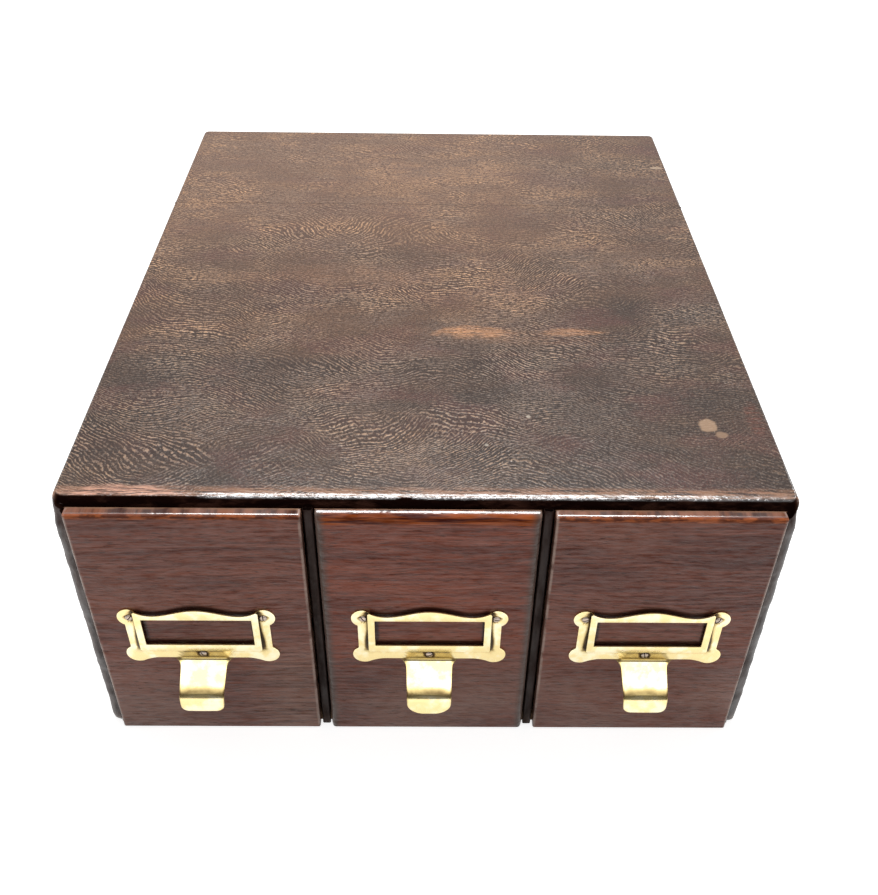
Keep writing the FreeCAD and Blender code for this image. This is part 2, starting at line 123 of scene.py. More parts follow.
class PullSettings(bpy.types.PropertyGroup):
    """The pressed brass label pull, from the middle of its screws."""
    sheet: length("Sheet", "Thickness of the brass", 1.2)
    edge: length("Edge", "Round on the edges of the brass", 0.38)
    flange_half: length("Flange", "Half the width of the flange", 51.9)
    flange_foot: length("Flange foot", "Lower edge of the flange", -24.1)
    lobe_x: length("Lobe across", "Middle of a lobe, from the centre line", 47.8)
    lobe_z: length("Lobe height", "Middle of an upper lobe, above the centre", 19.7)
    lobe_radius: length("Lobe radius", "Radius of a lobe", 8.6)
    frame_half: length("Frame", "Half the width of the raised card frame", 44.5)
    frame_foot: length("Frame foot", "Lower edge of the raised frame", -14.3)
    frame_raise: length("Frame raise", "Face of the card frame, off the wood", 3.2)
    frame_slope: length("Frame slope", "How far the frame's upright walls splay", 1.9)
    window_half: length("Window", "Half the width of the window", 39.4)
    window_foot: length("Window foot", "Lower edge of the window", -7.7)
    window_head: length("Window head", "Upper edge of the window", 19.1)
    dip_x: length("Dip across", "Lowest place of the rail, from the centre line", 31.0)
    dip_z: length("Dip height", "Height of the rail there", 23.0)
    crest_z: length("Crest", "Height of the rail at its middle", 28.8)
    neck_half: length("Tab neck", "Half the width of the tab below its root", 17.5)
    tip_half: length("Tab tip", "Half the width of the tab at its tip", 15.9)
    root_fillet: length("Tab root", "Fillet between the flange and the tab", 8.5)
    tip_depth: length("Tab end", "How far up the tab its rounded end reaches", 10.0)
    bend_z: length("Bend", "Height of the tab's bend", -26.0)
    knee_reach: length("Knee reach", "The knee, out from the wood", 24.5)
    knee_z: length("Knee height", "Height of the knee", -40.0)
    tip_reach: length("Tip reach", "The tip, out from the wood", 27.0)
    tip_z: length("Tip height", "Height of the middle tab's tip", -55.7)
    short_tab: length("Short tab", "How much higher the outer tabs end", 2.2)
    bend_round: length("Bend round", "Radius of the bend, in the middle of the sheet", 3.0)
    knee_round: length("Knee round", "Radius of the knee, in the middle of the sheet", 8.0)
    screw_radius: length("Screw head", "Radius of a screw's head", 2.8)
    screw_dome: length("Screw dome", "Height of a screw's head", 1.3)
    screw_slot: length("Screw slot", "Width of a screw's slot", 0.8)


class FinishSettings(bpy.types.PropertyGroup):
    """Colours of the finishes."""
    top_dark: tint("Top, dark", "Darkened shellac on the top", (0.050, 0.031, 0.024))
    top_warm: tint("Top, warm", "Brown wood under thin shellac", (0.150, 0.078, 0.048))
    # top_ridge is the wrinkles' own colour with a painted highlight on their crests
    top_ridge: tint("Top, ridges", "Wrinkles in the shellac", (0.900, 0.510, 0.270))
    front_dark: tint("Front, dark", "Dark grain of the drawer fronts", (0.110, 0.034, 0.024))
    front_red: tint("Front, red", "Red-brown wood of the drawer fronts", (0.260, 0.092, 0.062))
    # front_glow: the upper rounds' orange-red wood, with painted light on it
    front_glow: tint("Front, glow", "Orange-red wood along the upper rounds", (0.42, 0.095, 0.020))
    edge: tint("Edges", "Blackened sides and strips", (0.036, 0.022, 0.018))
    brass: tint("Brass", "Polished brass", (0.90, 0.73, 0.36))
    # tarnish also colours the painted shade on the brass
    tarnish: tint("Tarnish", "Brown tarnish on brass", (0.15, 0.095, 0.040))
    steel: tint("Steel", "Screws and bolts", (0.56, 0.44, 0.35))
    bare: tint("Bare wood", "Unfinished wood of the drawer boxes", (0.36, 0.215, 0.115))


class StageSettings(bpy.types.PropertyGroup):
    """Camera, lights and floor."""
    camera_place: bpy.props.FloatVectorProperty(
        name="Camera", description="Where the camera stands", size=3,
        default=(-0.00034, -0.78767, 0.69702), subtype="TRANSLATION", unit="LENGTH")
    camera_turn: bpy.props.FloatVectorProperty(
        name="Camera turn", description="The camera's turn about x, y and z", size=3,
        default=(math.radians(50.4277), math.radians(-0.7332), math.radians(-0.2765)),
        subtype="EULER", unit="ROTATION")
    focal_length: bpy.props.FloatProperty(
        name="Focal length", description="Focal length in millimetres", default=41.464, unit="CAMERA")
    floor_half: length("Floor", "Half the side of the floor", 4000.0)
    lamp_watts: bpy.props.FloatProperty(
        name="Lamp", description="Power of the lamp above", default=42.0, unit="POWER")
    lamp_width: length("Lamp width", "Width of the lamp above", 1500.0)
    lamp_depth: length("Lamp depth", "Depth of the lamp above", 750.0)
    lamp_place: bpy.props.FloatVectorProperty(
        name="Lamp place", description="Where the lamp hangs", size=3,
        default=(0.0, 0.80, 2.15), subtype="TRANSLATION", unit="LENGTH")
    lamp_aim: bpy.props.FloatVectorProperty(
        name="Lamp aim", description="What the lamp faces", size=3,
        default=(0.0, -0.25, 0.23), subtype="TRANSLATION", unit="LENGTH")
    sky: share("Sky", "Level of the light from all round", 0.44)
    room: share("Room", "What mirrors see ahead of the cabinet", 0.225)
    ceiling: bpy.props.FloatProperty(name="Ceiling", description="What mirrors see overhead", default=2.08)
    behind: share("Behind", "What mirrors see behind the cabinet", 0.64)
    floor_glow: share("Floor glow", "Light of the floor's own, towards mirrors", 0.82)
    floor_dim: share("Floor dimming", "How much less of it the camera sees", 0.03)


# --- Meshes --------------------

def quads(rows, columns, around, closed):
    """Corners of a grid's faces; around joins the last column to the first, closed the last row."""
    i = np.arange(rows if closed else rows - 1)[:, None]
    j = np.arange(columns if around else columns - 1)[None, :]
    after_i, after_j = (i + 1) % rows, (j + 1) % columns
    corners = (i * columns + j, i * columns + after_j, after_i * columns + after_j, after_i * columns + j)
    return np.stack(np.broadcast_arrays(*corners), -1).reshape(-1, 4)


class Shell:
    """A grid of points with its faces, and marks: one number per point for the materials to read."""

    def __init__(self, points, around=True, closed=False, **marks):
        rows, columns = points.shape[:2]
        self.points = points.reshape(-1, 3)
        self.faces = quads(rows, columns, around, closed).tolist()
        if around and not closed:
            self.faces.append(list(range(columns)))
            self.faces.append(list(range(rows * columns - 1, (rows - 1) * columns - 1, -1)))
        self.marks = {k: np.broadcast_to(v, (rows, columns)).reshape(-1) for k, v in marks.items()}


def make_piece(name, shells, body, material, replaced=(), sharp=38.0, extra=None):
    """One object from shells: coinciding points are merged, faces turned outwards and edges marked sharp."""
    start = 0
    points, faces = [], []
    names = sorted({mark for shell in shells for mark in shell.marks})
    marks = {mark: [] for mark in names}
    for shell in shells:
        points.append(shell.points)
        faces += [[corner + start for corner in face] for face in shell.faces]
        start += len(shell.points)
        for mark in names:
            marks[mark].append(shell.marks.get(mark, np.zeros(len(shell.points))))
    mesh = bpy.data.meshes.new(name)
    mesh.from_pydata(np.concatenate(points).tolist(), [], faces)
    for mark in names:
        layer = mesh.attributes.new(mark, "FLOAT", "POINT")
        layer.data.foreach_set("value", np.concatenate(marks[mark]).astype(np.float32))
    work = bmesh.new()
    work.from_mesh(mesh)
    bmesh.ops.remove_doubles(work, verts=work.verts, dist=2e-6)
    bmesh.ops.dissolve_degenerate(work, edges=work.edges, dist=1e-6)
    if extra:
        work.from_mesh(extra)
    bmesh.ops.recalc_face_normals(work, faces=work.faces)
    work.to_mesh(mesh)
    work.free()
    mesh.shade_smooth()
    mesh.set_sharp_from_angle(angle=math.radians(sharp))
    mesh.materials.append(material)
    made = bpy.data.objects.new(name, mesh)
    bpy.context.scene.collection.objects.link(made)
    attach(made, body)
    if replaced:
        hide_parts(*replaced)
    return made


def wander(along, scale, seed):
    """Smooth noise from -1 to 1 along a line: random values every scale metres, joined by a cosine."""
    rng = np.random.default_rng(SEED + seed)
    values = rng.uniform(-1, 1, 512)
    place = np.asarray(along) / scale + 200.0
    low = np.floor(place).astype(int)
    part = (1 - np.cos(np.pi * (place - low))) / 2
    return values[low % 512] * (1 - part) + values[(low + 1) % 512] * part


def ease(value, low, high):
    """0 below low, 1 above high, and a smooth step between them."""
    t = np.clip((np.asarray(value, float) - low) / (high - low), 0, 1)
    return t * t * (3 - 2 * t)


def ring(box, radii, counts):
    """Closed line round a rectangle (a0, a1, b0, b1) with rounded corners, from (a0, b0) to (a1, b0) and on.

    radii are the corners', counts the points along a side of constant b and of constant a.
    """
    a0, a1, b0, b1 = box
    corners = ((a0, b0, 180), (a1, b0, 270), (a1, b1, 0), (a0, b1, 90))
    arcs = []
    for (a, b, start), radius in zip(corners, radii):
        turn = np.radians(start + np.linspace(0, 90, CORNER_STEPS + 1))
        centre = np.array([a + (radius if a == a0 else -radius), b + (radius if b == b0 else -radius)])
        arcs.append(centre + radius * np.stack([np.cos(turn), np.sin(turn)], -1))
    points = []
    for i, here in enumerate(arcs):
        part = np.linspace(0, 1, counts[i % 2] + 2)[1:-1, None]
        points += [here, here[-1] + (arcs[(i + 1) % 4][0] - here[-1]) * part]
    return np.concatenate(points)


def ring_ways(counts):
    """Outward normals of a ring, and each side's share of a point: front, right, back, left."""
    normals = []
    for i in range(4):
        turn = np.radians(180 + 90 * i + np.linspace(0, 90, CORNER_STEPS + 1))
        arc_ways = np.stack([np.cos(turn), np.sin(turn)], -1)
        normals += [arc_ways, np.repeat(arc_ways[-1:], counts[i % 2], 0)]
    normals = np.concatenate(normals)
    ways = np.array([[0, -1], [1, 0], [0, 1], [-1, 0]])
    return normals, np.clip(normals @ ways.T, 0, None) ** 2


def inset_ring(box, radii, insets, counts):
    """A ring moved in by insets (front, right, back, left), its corners' radii shrinking as they must."""
    a0, a1, b0, b1 = box
    front, right, back, left = insets
    smaller = [max(radius - (one + other) / 2, 0.04 * MM) for radius, one, other in zip(
        radii, (left, front, right, back), (front, right, back, left))]
    return ring((a0 + left, a1 - right, b0 + front, b1 - back), smaller, counts)


def edge_profile(low, high, low_round, high_round, thick, steps=9, inner=24):
    """Places across a board and how far its face drops there: wall, quarter round, flat, and back again."""
    turn = np.linspace(math.pi / 2, 0, steps)
    wall = np.array([1.0, 0.6, 0.25])
    places = np.concatenate([
        np.full(3, low), low + low_round * (1 - np.sin(turn)),
        np.linspace(low + low_round, high - high_round, inner + 2)[1:-1],
        (high - high_round * (1 - np.sin(turn)))[::-1], np.full(3, high)])
    drops = np.concatenate([
        low_round + (thick - low_round) * wall, low_round * (1 - np.cos(turn)), np.zeros(inner),
        (high_round * (1 - np.cos(turn)))[::-1], (high_round + (thick - high_round) * wall)[::-1]])
    return places, drops


def round_corners(a, b, a0, a1, b0, b1, radius):
    """Moves square rings about each corner's centre onto circles of the same size."""
    a, b = a.copy(), b.copy()
    for a_edge, inward_a in ((a0, 1), (a1, -1)):
        for b_edge, inward_b in ((b0, 1), (b1, -1)):
            da = radius - (a - a_edge) * inward_a
            db = radius - (b - b_edge) * inward_b
            inside = (da > 0) & (db > 0)
            size = np.maximum(da, db) / np.maximum(np.hypot(da, db), 1e-12)
            a = np.where(inside, a_edge + inward_a * (radius - da * size), a)
            b = np.where(inside, b_edge + inward_b * (radius - db * size), b)
    return a, b


# --- Finishes --------------------

class Value:
    """A node's output to reckon with: each sum, difference, product or quotient adds a Math node."""

    def __init__(self, nodes, socket):
        self.nodes, self.socket = nodes, socket

    def __add__(self, other):
        return self.nodes.math("ADD", self, other)

    def __sub__(self, other):
        return self.nodes.math("SUBTRACT", self, other)

    def __rsub__(self, other):
        return self.nodes.math("SUBTRACT", other, self)

    def __mul__(self, other):
        return self.nodes.math("MULTIPLY", self, other)

    def __truediv__(self, other):
        return self.nodes.math("DIVIDE", self, other)


class Nodes:
    """A node tree under construction: each method adds a node and returns its output."""

    def __init__(self, tree):
        self.tree = tree
        self.tree.nodes.clear()

    def add(self, kind, **settings):
        made = self.tree.nodes.new(kind)
        for key, value in settings.items():
            setattr(made, key, value)
        return made

    def feed(self, socket, value):
        """Links an output to a socket, or sets the socket to a number or colour."""
        if isinstance(value, Value):
            value = value.socket
        if isinstance(value, bpy.types.NodeSocket):
            self.tree.links.new(value, socket)
        elif socket.type == "RGBA" and len(value) == 3:
            socket.default_value = (*value, 1.0)
        else:
            socket.default_value = value

    def node(self, kind, *values, **settings):
        """A node whose first inputs are fed with values; its first output."""
        made = self.add(kind, **settings)
        for socket, value in zip(made.inputs, values):
            self.feed(socket, value)
        return Value(self, made.outputs[0])

    def math(self, operation, *values, clamp=False):
        return self.node("ShaderNodeMath", *values, operation=operation, use_clamp=clamp)

    def span(self, value, low, high, to_low=0.0, to_high=1.0, kind="SMOOTHSTEP"):
        """A smooth step of value from low to high."""
        return self.node("ShaderNodeMapRange", value, low, high, to_low, to_high, interpolation_type=kind)

    def blend(self, factor, first, second):
        """The first colour where factor is 0, the second where it is 1."""
        made = self.add("ShaderNodeMix", data_type="RGBA")
        for index, value in ((0, factor), (6, first), (7, second)):
            self.feed(made.inputs[index], value)
        return Value(self, made.outputs[2])

    def noise(self, vector, scale, detail=2.0, rough=0.5, distortion=0.0):
        made = self.add("ShaderNodeTexNoise")
        for key, value in (("Vector", vector), ("Scale", scale), ("Detail", detail),
                           ("Roughness", rough), ("Distortion", distortion)):
            self.feed(made.inputs[key], value)
        return Value(self, made.outputs[0])

    def axes(self, vector):
        """The x, y and z of a vector."""
        made = self.add("ShaderNodeSeparateXYZ")
        self.feed(made.inputs[0], vector)
        return [Value(self, output) for output in made.outputs]

    def join(self, x, y, z):
        return self.node("ShaderNodeCombineXYZ", x, y, z)

    def rays(self):
        """1 where the camera looks, and 1 where a mirror or glass does."""
        path = self.add("ShaderNodeLightPath").outputs
        return Value(self, path["Is Camera Ray"]), self.math("MAXIMUM", path["Is Glossy Ray"],
                                                             path["Is Transmission Ray"])


class Finish(Nodes):
    """A material under construction, with place, the point of the piece that is looked at."""

    def __init__(self, name):
        self.material = bpy.data.materials.new(name)
        self.material.use_nodes = True
        super().__init__(self.material.node_tree)
        self.place = self.add("ShaderNodeTexCoord").outputs["Object"]

    def stretch(self, scale, shift=(0, 0, 0)):
        """The place scaled along each axis, and then shifted."""
        made = self.add("ShaderNodeMapping")
        self.feed(made.inputs["Vector"], self.place)
        made.inputs["Scale"].default_value = scale
        made.inputs["Location"].default_value = shift
        return made.outputs[0]

    def shifted(self, x, y, scale, detail=1.0):
        """Noise at the place, moved in plan so that it differs from its like."""
        return self.noise(self.stretch((1.0, 1.0, 1.0), (x, y, 0.0)), scale, detail)

    def cloud(self, scale, detail=2.0, rough=0.5):
        """Noise at the place."""
        return self.noise(self.place, scale, detail, rough)

    def mark(self, name):
        """What the piece's points carry under a name."""
        made = self.add("ShaderNodeAttribute", attribute_type="GEOMETRY", attribute_name=name)
        return Value(self, made.outputs["Fac"])

    def layers(self, colour, *coats):
        """A colour under coats of (amount, colour), the last on top."""
        for amount, coat in coats:
            colour = self.blend(amount, colour, coat)
        return colour

    def spot(self, x, y, half_x, half_y, ragged, soft=0.35):
        """1 inside an ellipse in plan, with an edge that ragged, a noise, makes uneven."""
        px, py, _ = self.axes(self.place)
        dx, dy = (px - x) / half_x, (py - y) / half_y
        return self.span(dx * dx + dy * dy + (ragged - 0.5) * 2.2, 1 + soft, 1 - soft)

    def bump(self, height, distance, strength, normal=None):
        made = self.add("ShaderNodeBump")
        made.inputs["Distance"].default_value = distance
        made.inputs["Strength"].default_value = strength
        self.feed(made.inputs["Height"], height)
        if normal is not None:
            self.feed(made.inputs["Normal"], normal)
        return made.outputs[0]

    def surface(self, colour, rough, normal=None, metallic=0.0, coat=None, coat_rough=0.1, specular=0.5):
        made = self.add("ShaderNodeBsdfPrincipled")
        self.feed(made.inputs["Base Color"], colour)
        self.feed(made.inputs["Roughness"], rough)
        made.inputs["Metallic"].default_value = metallic
        if coat is not None:
            self.feed(made.inputs["Coat Weight"], coat)
            made.inputs["Coat Roughness"].default_value = coat_rough
            made.inputs["Coat IOR"].default_value = 2.0
        self.feed(made.inputs["Specular IOR Level"], specular)
        if normal is not None:
            self.feed(made.inputs["Normal"], normal)
            if coat is not None:
                self.feed(made.inputs["Coat Normal"], normal)
        self.feed(self.add("ShaderNodeOutputMaterial").inputs["Surface"], made.outputs[0])
        return self.material


def crazed_shellac(settings):
    """Dark old shellac on the top: flowing wrinkles with painted highlights on their crests, warm worn
    patches, a few chips, a painted reflection that lightens it towards the back, and a grimy nose in painted
    shade underneath.

    The wrinkles are three families of waves, sin(2 pi w / spacing), where w runs across them and is bent by
    slow noise, so that they flow, fan out and break off.
    """
    f = Finish("crazed_shellac")
    px, py, _ = f.axes(f.place)
    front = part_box("left_side")[0].y
    edge = f.mark("edge")
    drift = f.shifted(0.7, 0.1, 7.0) * 0.085 + f.shifted(3.1, 1.7, 26.0) * 0.015
    jumble = f.cloud(190.0, 2.0, 0.6) * 7.0

    def wrinkles(tilt, spacing, shift):
        """One family of waves that run at an angle to the front edge."""
        turn = math.radians(tilt)
        along = px * math.cos(turn) + py * math.sin(turn)
        across = py * math.cos(turn) - px * math.sin(turn) + drift
        local = f.join(along * 55.0, across * 170.0, shift)
        phase = f.noise(local, 1.0, 1.0) * 10.0 + (across * (2 * math.pi / spacing) + jumble)
        crest = f.span(f.math("SINE", phase), 0.05, 0.8)
        broken = f.join(along * 330.0, across * 480.0, shift + 4.0)
        return crest * f.span(f.noise(broken, 1.0, 2.0, 0.65), 0.38, 0.62)

    def region(x, y):
        return f.span(f.shifted(x, y, 12.0), 0.44, 0.56)

    ridge = f.blend(region(5.0, 2.0), wrinkles(-5.0, 2.8 * MM, 0.0), wrinkles(24.0, 2.6 * MM, 7.0))
    ridge = f.blend(region(1.0, 9.0), ridge, wrinkles(-26.0, 2.7 * MM, 3.0))
    smooth = f.span(px, 0.08, 0.17) * f.span(py, -0.08, -0.19)
    calm = f.span(f.shifted(0.3, 5.2, 12.0, 2.0), 0.30, 0.62) * (smooth * -0.97 + 1.0)
    ridge = ridge * (calm * 0.80 + 0.20) * f.span(edge, 0.99, 0.70, 0.15, 1.0)
    grit = f.cloud(800.0, 3.0, 0.65)
    speck = f.cloud(620.0, 2.0, 0.6)

    cloud = f.noise(f.stretch((1.0, 1.9, 1.0), (0.9, 0.2, 0.0)), 5.5, 4.0, 0.6)
    stripe = f.noise(f.stretch((1.0, 7.0, 1.0), (2.2, 0.4, 0.0)), 5.0, 4.0, 0.6)
    rosy = f.noise(f.stretch((1.0, 2.0, 1.0), (4.0, 1.0, 0.0)), 13.0, 3.0, 0.6)
    glint = f.noise(f.stretch((1.0, 2.2, 1.0), (6.0, 3.0, 0.0)), 15.0, 3.0, 0.6)
    # Painted reflection: back makes the top warmer and lighter towards the back, and painted_back_reflection
    # lighter still at the back left.
    back = f.span(py, -0.28, 0.16, -0.110, 0.130)
    right = f.span(px, 0.02, 0.25, 0.0, -0.060)
    warm = f.span(cloud * 0.6 + stripe * 0.4 + (back + right), 0.29, 0.73)
    painted_back_reflection = f.span(py, -0.05, 0.18) * f.span(px, 0.24, 0.02)
    # The crests' colour is the shellac's own, lightened by painted highlight; glint makes the highlight
    # stronger or duller in patches.
    crest_colour_and_highlight = f.blend(warm, (0.62, 0.41, 0.27), settings.top_ridge)
    crest_colour_and_highlight = f.blend(f.span(glint, 0.60, 0.42), crest_colour_and_highlight, (0.440, 0.275, 0.180))
    speck_colour = f.blend(warm, (0.45, 0.36, 0.28), (0.80, 0.50, 0.28))
    fibre = f.noise(f.join(px * 45.0, py * 420.0, 0.0), 1.0, 4.0, 0.65)
    crack = f.noise(f.join(px * 75.0, py * 1000.0, 3.0), 1.0, 3.0, 0.6)
    lip = f.span(py, front + 0.024, front + 0.017) * f.span(fibre, 0.40, 0.56)
    colour = f.layers(
        f.blend(warm, settings.top_dark, settings.top_warm),
        (f.span(rosy, 0.46, 0.66, 0.0, 0.7), (0.115, 0.048, 0.040)),
        (calm * 0.42, (0.026, 0.015, 0.012)),
        (painted_back_reflection * 0.45, (0.260, 0.150, 0.098)),
        (ridge * 0.95, crest_colour_and_highlight),
        (f.span(speck, 0.56, 0.70) * (ridge * 0.5 + 0.25), speck_colour),
        (f.span(grit, 0.48, 0.64) * (ridge * -0.5 + 0.8), (0.020, 0.012, 0.009)),
        (lip * 0.65, (0.46, 0.235, 0.135)))

    # Each place: x, y from the front edge, half its width and depth, colour, amount.
    ragged = f.cloud(70.0, 4.0, 0.65)
    rubbed = (
        (0.036, 0.212, 0.030, 0.0090, (0.90, 0.42, 0.18), 0.90),
        (0.118, 0.213, 0.024, 0.0055, (0.80, 0.38, 0.17), 0.70),
        (0.086, 0.205, 0.060, 0.0110, (0.34, 0.16, 0.08), 0.40),
        (-0.060, 0.300, 0.070, 0.0200, (0.30, 0.14, 0.08), 0.40),
        (0.240, 0.100, 0.006, 0.018, (0.24, 0.060, 0.035), 0.65),
        (-0.203, 0.006, 0.052, 0.0150, (0.70, 0.37, 0.26), 1.00),
        (0.152, 0.009, 0.010, 0.0050, (0.36, 0.20, 0.12), 0.90),
        (0.040, 0.010, 0.045, 0.0065, (0.42, 0.22, 0.14), 0.60),
    )
    for x, y, half_x, half_y, shade, amount in rubbed:
        here = f.spot(x, front + y, half_x, half_y, ragged, 0.6) * amount
        if y < NOSE_REACH:
            streaked = f.span(fibre, 0.38, 0.54) * f.span(crack, 0.60, 0.53)
            shade = f.blend(streaked, tuple(c * 0.22 for c in shade), shade)
        else:
            showing = f.span(fibre, 0.44, 0.60, 0.05, 0.45)
            here = here * f.math("MULTIPLY_ADD", ridge, 0.75, showing, clamp=True)
        colour = f.blend(here, colour, shade)
    chips = (
        (0.204, 0.091, 0.0065, 0.0075, (0.42, 0.27, 0.17), 0.85),
        (0.212, 0.080, 0.0055, 0.0040, (0.38, 0.24, 0.15), 0.70),
        (0.074, 0.100, 0.0016, 0.0016, (0.50, 0.42, 0.34), 0.80),
        (0.042, 0.067, 0.0013, 0.0013, (0.46, 0.40, 0.33), 0.80),
        (0.240, 0.529, 0.0060, 0.0030, (0.44, 0.32, 0.22), 0.80),
    )
    for x, y, half_x, half_y, shade, amount in chips:
        colour = f.blend(f.spot(x, front + y, half_x, half_y, ragged) * amount, colour, shade)

    worn = f.noise(f.stretch((0.35, 1.0, 1.0)), 110.0, 4.0, 0.65)
    # The nose's underside: grime and painted shade, near black.
    grime_and_shade = f.mark("under") + (worn - 0.5) * 0.35
    black = f.span(grime_and_shade, 0.15, 0.70)
    colour = f.layers(
        colour,
        (f.span(edge + worn * 0.9, 1.05, 1.45) * 0.45, (0.16, 0.065, 0.040)),
        (f.span(grime_and_shade, 0.02, 0.30), (0.060, 0.024, 0.014)),
        (black, f.blend(f.span(worn, 0.46, 0.66), (0.006, 0.002, 0.0015), (0.030, 0.012, 0.008))))

    normal = f.bump(f.cloud(45.0, 2.0), 0.0012, 0.5)
    lumpy = f.noise(f.stretch((0.55, 1.0, 1.0)), 260.0, 3.0, 0.65)
    margin = f.span(py, front + 0.020, front + 0.0135) * 0.45
    normal = f.bump(lumpy * f.math("MAXIMUM", margin, f.span(edge, 0.0, 0.35)), 0.0012, 0.85, normal)
    normal = f.bump(ridge + grit * 0.30, 0.00016, 0.8, normal)
    turned = f.span(edge, 0.02, 0.10)
    rough = turned * -0.10 + (ridge * 0.14 + 0.26)
    gloss = f.math("MULTIPLY_ADD", black, -0.97, speck * 1.30 - 0.24, clamp=True)
    lit = f.math("MAXIMUM", margin, turned) * (f.mark("ahead") * f.span(edge, 0.46, 0.30))
    lit = lit * f.span(worn, 0.34, 0.46) * f.span(px, -0.155, -0.143)
    return f.surface(colour, rough, normal, coat=lit, coat_rough=0.10, specular=gloss)


def pull_painted_shadow(f, px, pz):
    """1 where shadow is painted on the wood: close above a pull's rail, or close inside its window at the foot
    and one side.

    The rail's edge is taken as a cosine across the pull, z = mean + swing cos(pi x / dip).
    """
    s = bpy.context.scene.cabinet_pull
    middles = [pull_middle(bay) for bay in BAYS]
    between = [(a[0] + b[0]) / 2 for a, b in zip(middles, middles[1:])]
    x = px - middles[0][0]
    for place, before, after in zip(between, middles, middles[1:]):
        x = x - f.math("GREATER_THAN", px, place) * (after[0] - before[0])
    z = pz - middles[0][2]
    away = f.math("ABSOLUTE", x)
    mean, swing = (s.crest_z + s.dip_z) / 2, (s.crest_z - s.dip_z) / 2
    rail = f.math("COSINE", x * (math.pi / s.dip_x)) * swing + mean
    above = f.math("GREATER_THAN", z, s.window_head)
    over = f.span(z - rail, 4.5 * MM, 1.0 * MM) * above * f.span(away, s.lobe_x + 5 * MM, s.lobe_x - 8 * MM)
    foot = f.span(z, s.window_foot + 4.5 * MM, s.window_foot + 1.5 * MM)
    side = f.span(x, -s.window_half + 4.0 * MM, -s.window_half + 1.5 * MM)
    other = f.span(x, s.window_half - 2.0 * MM, s.window_half - 0.5 * MM)
    inside = f.math("MAXIMUM", foot, f.math("MAXIMUM", side, other))
    for test, value, limit in (("LESS_THAN", away, s.window_half + 2 * MM),
                               ("GREATER_THAN", z, s.window_foot - 2 * MM),
                               ("LESS_THAN", z, s.window_head + 2 * MM)):
        inside = inside * f.math(test, value, limit)
    return f.math("MAXIMUM", over, inside)


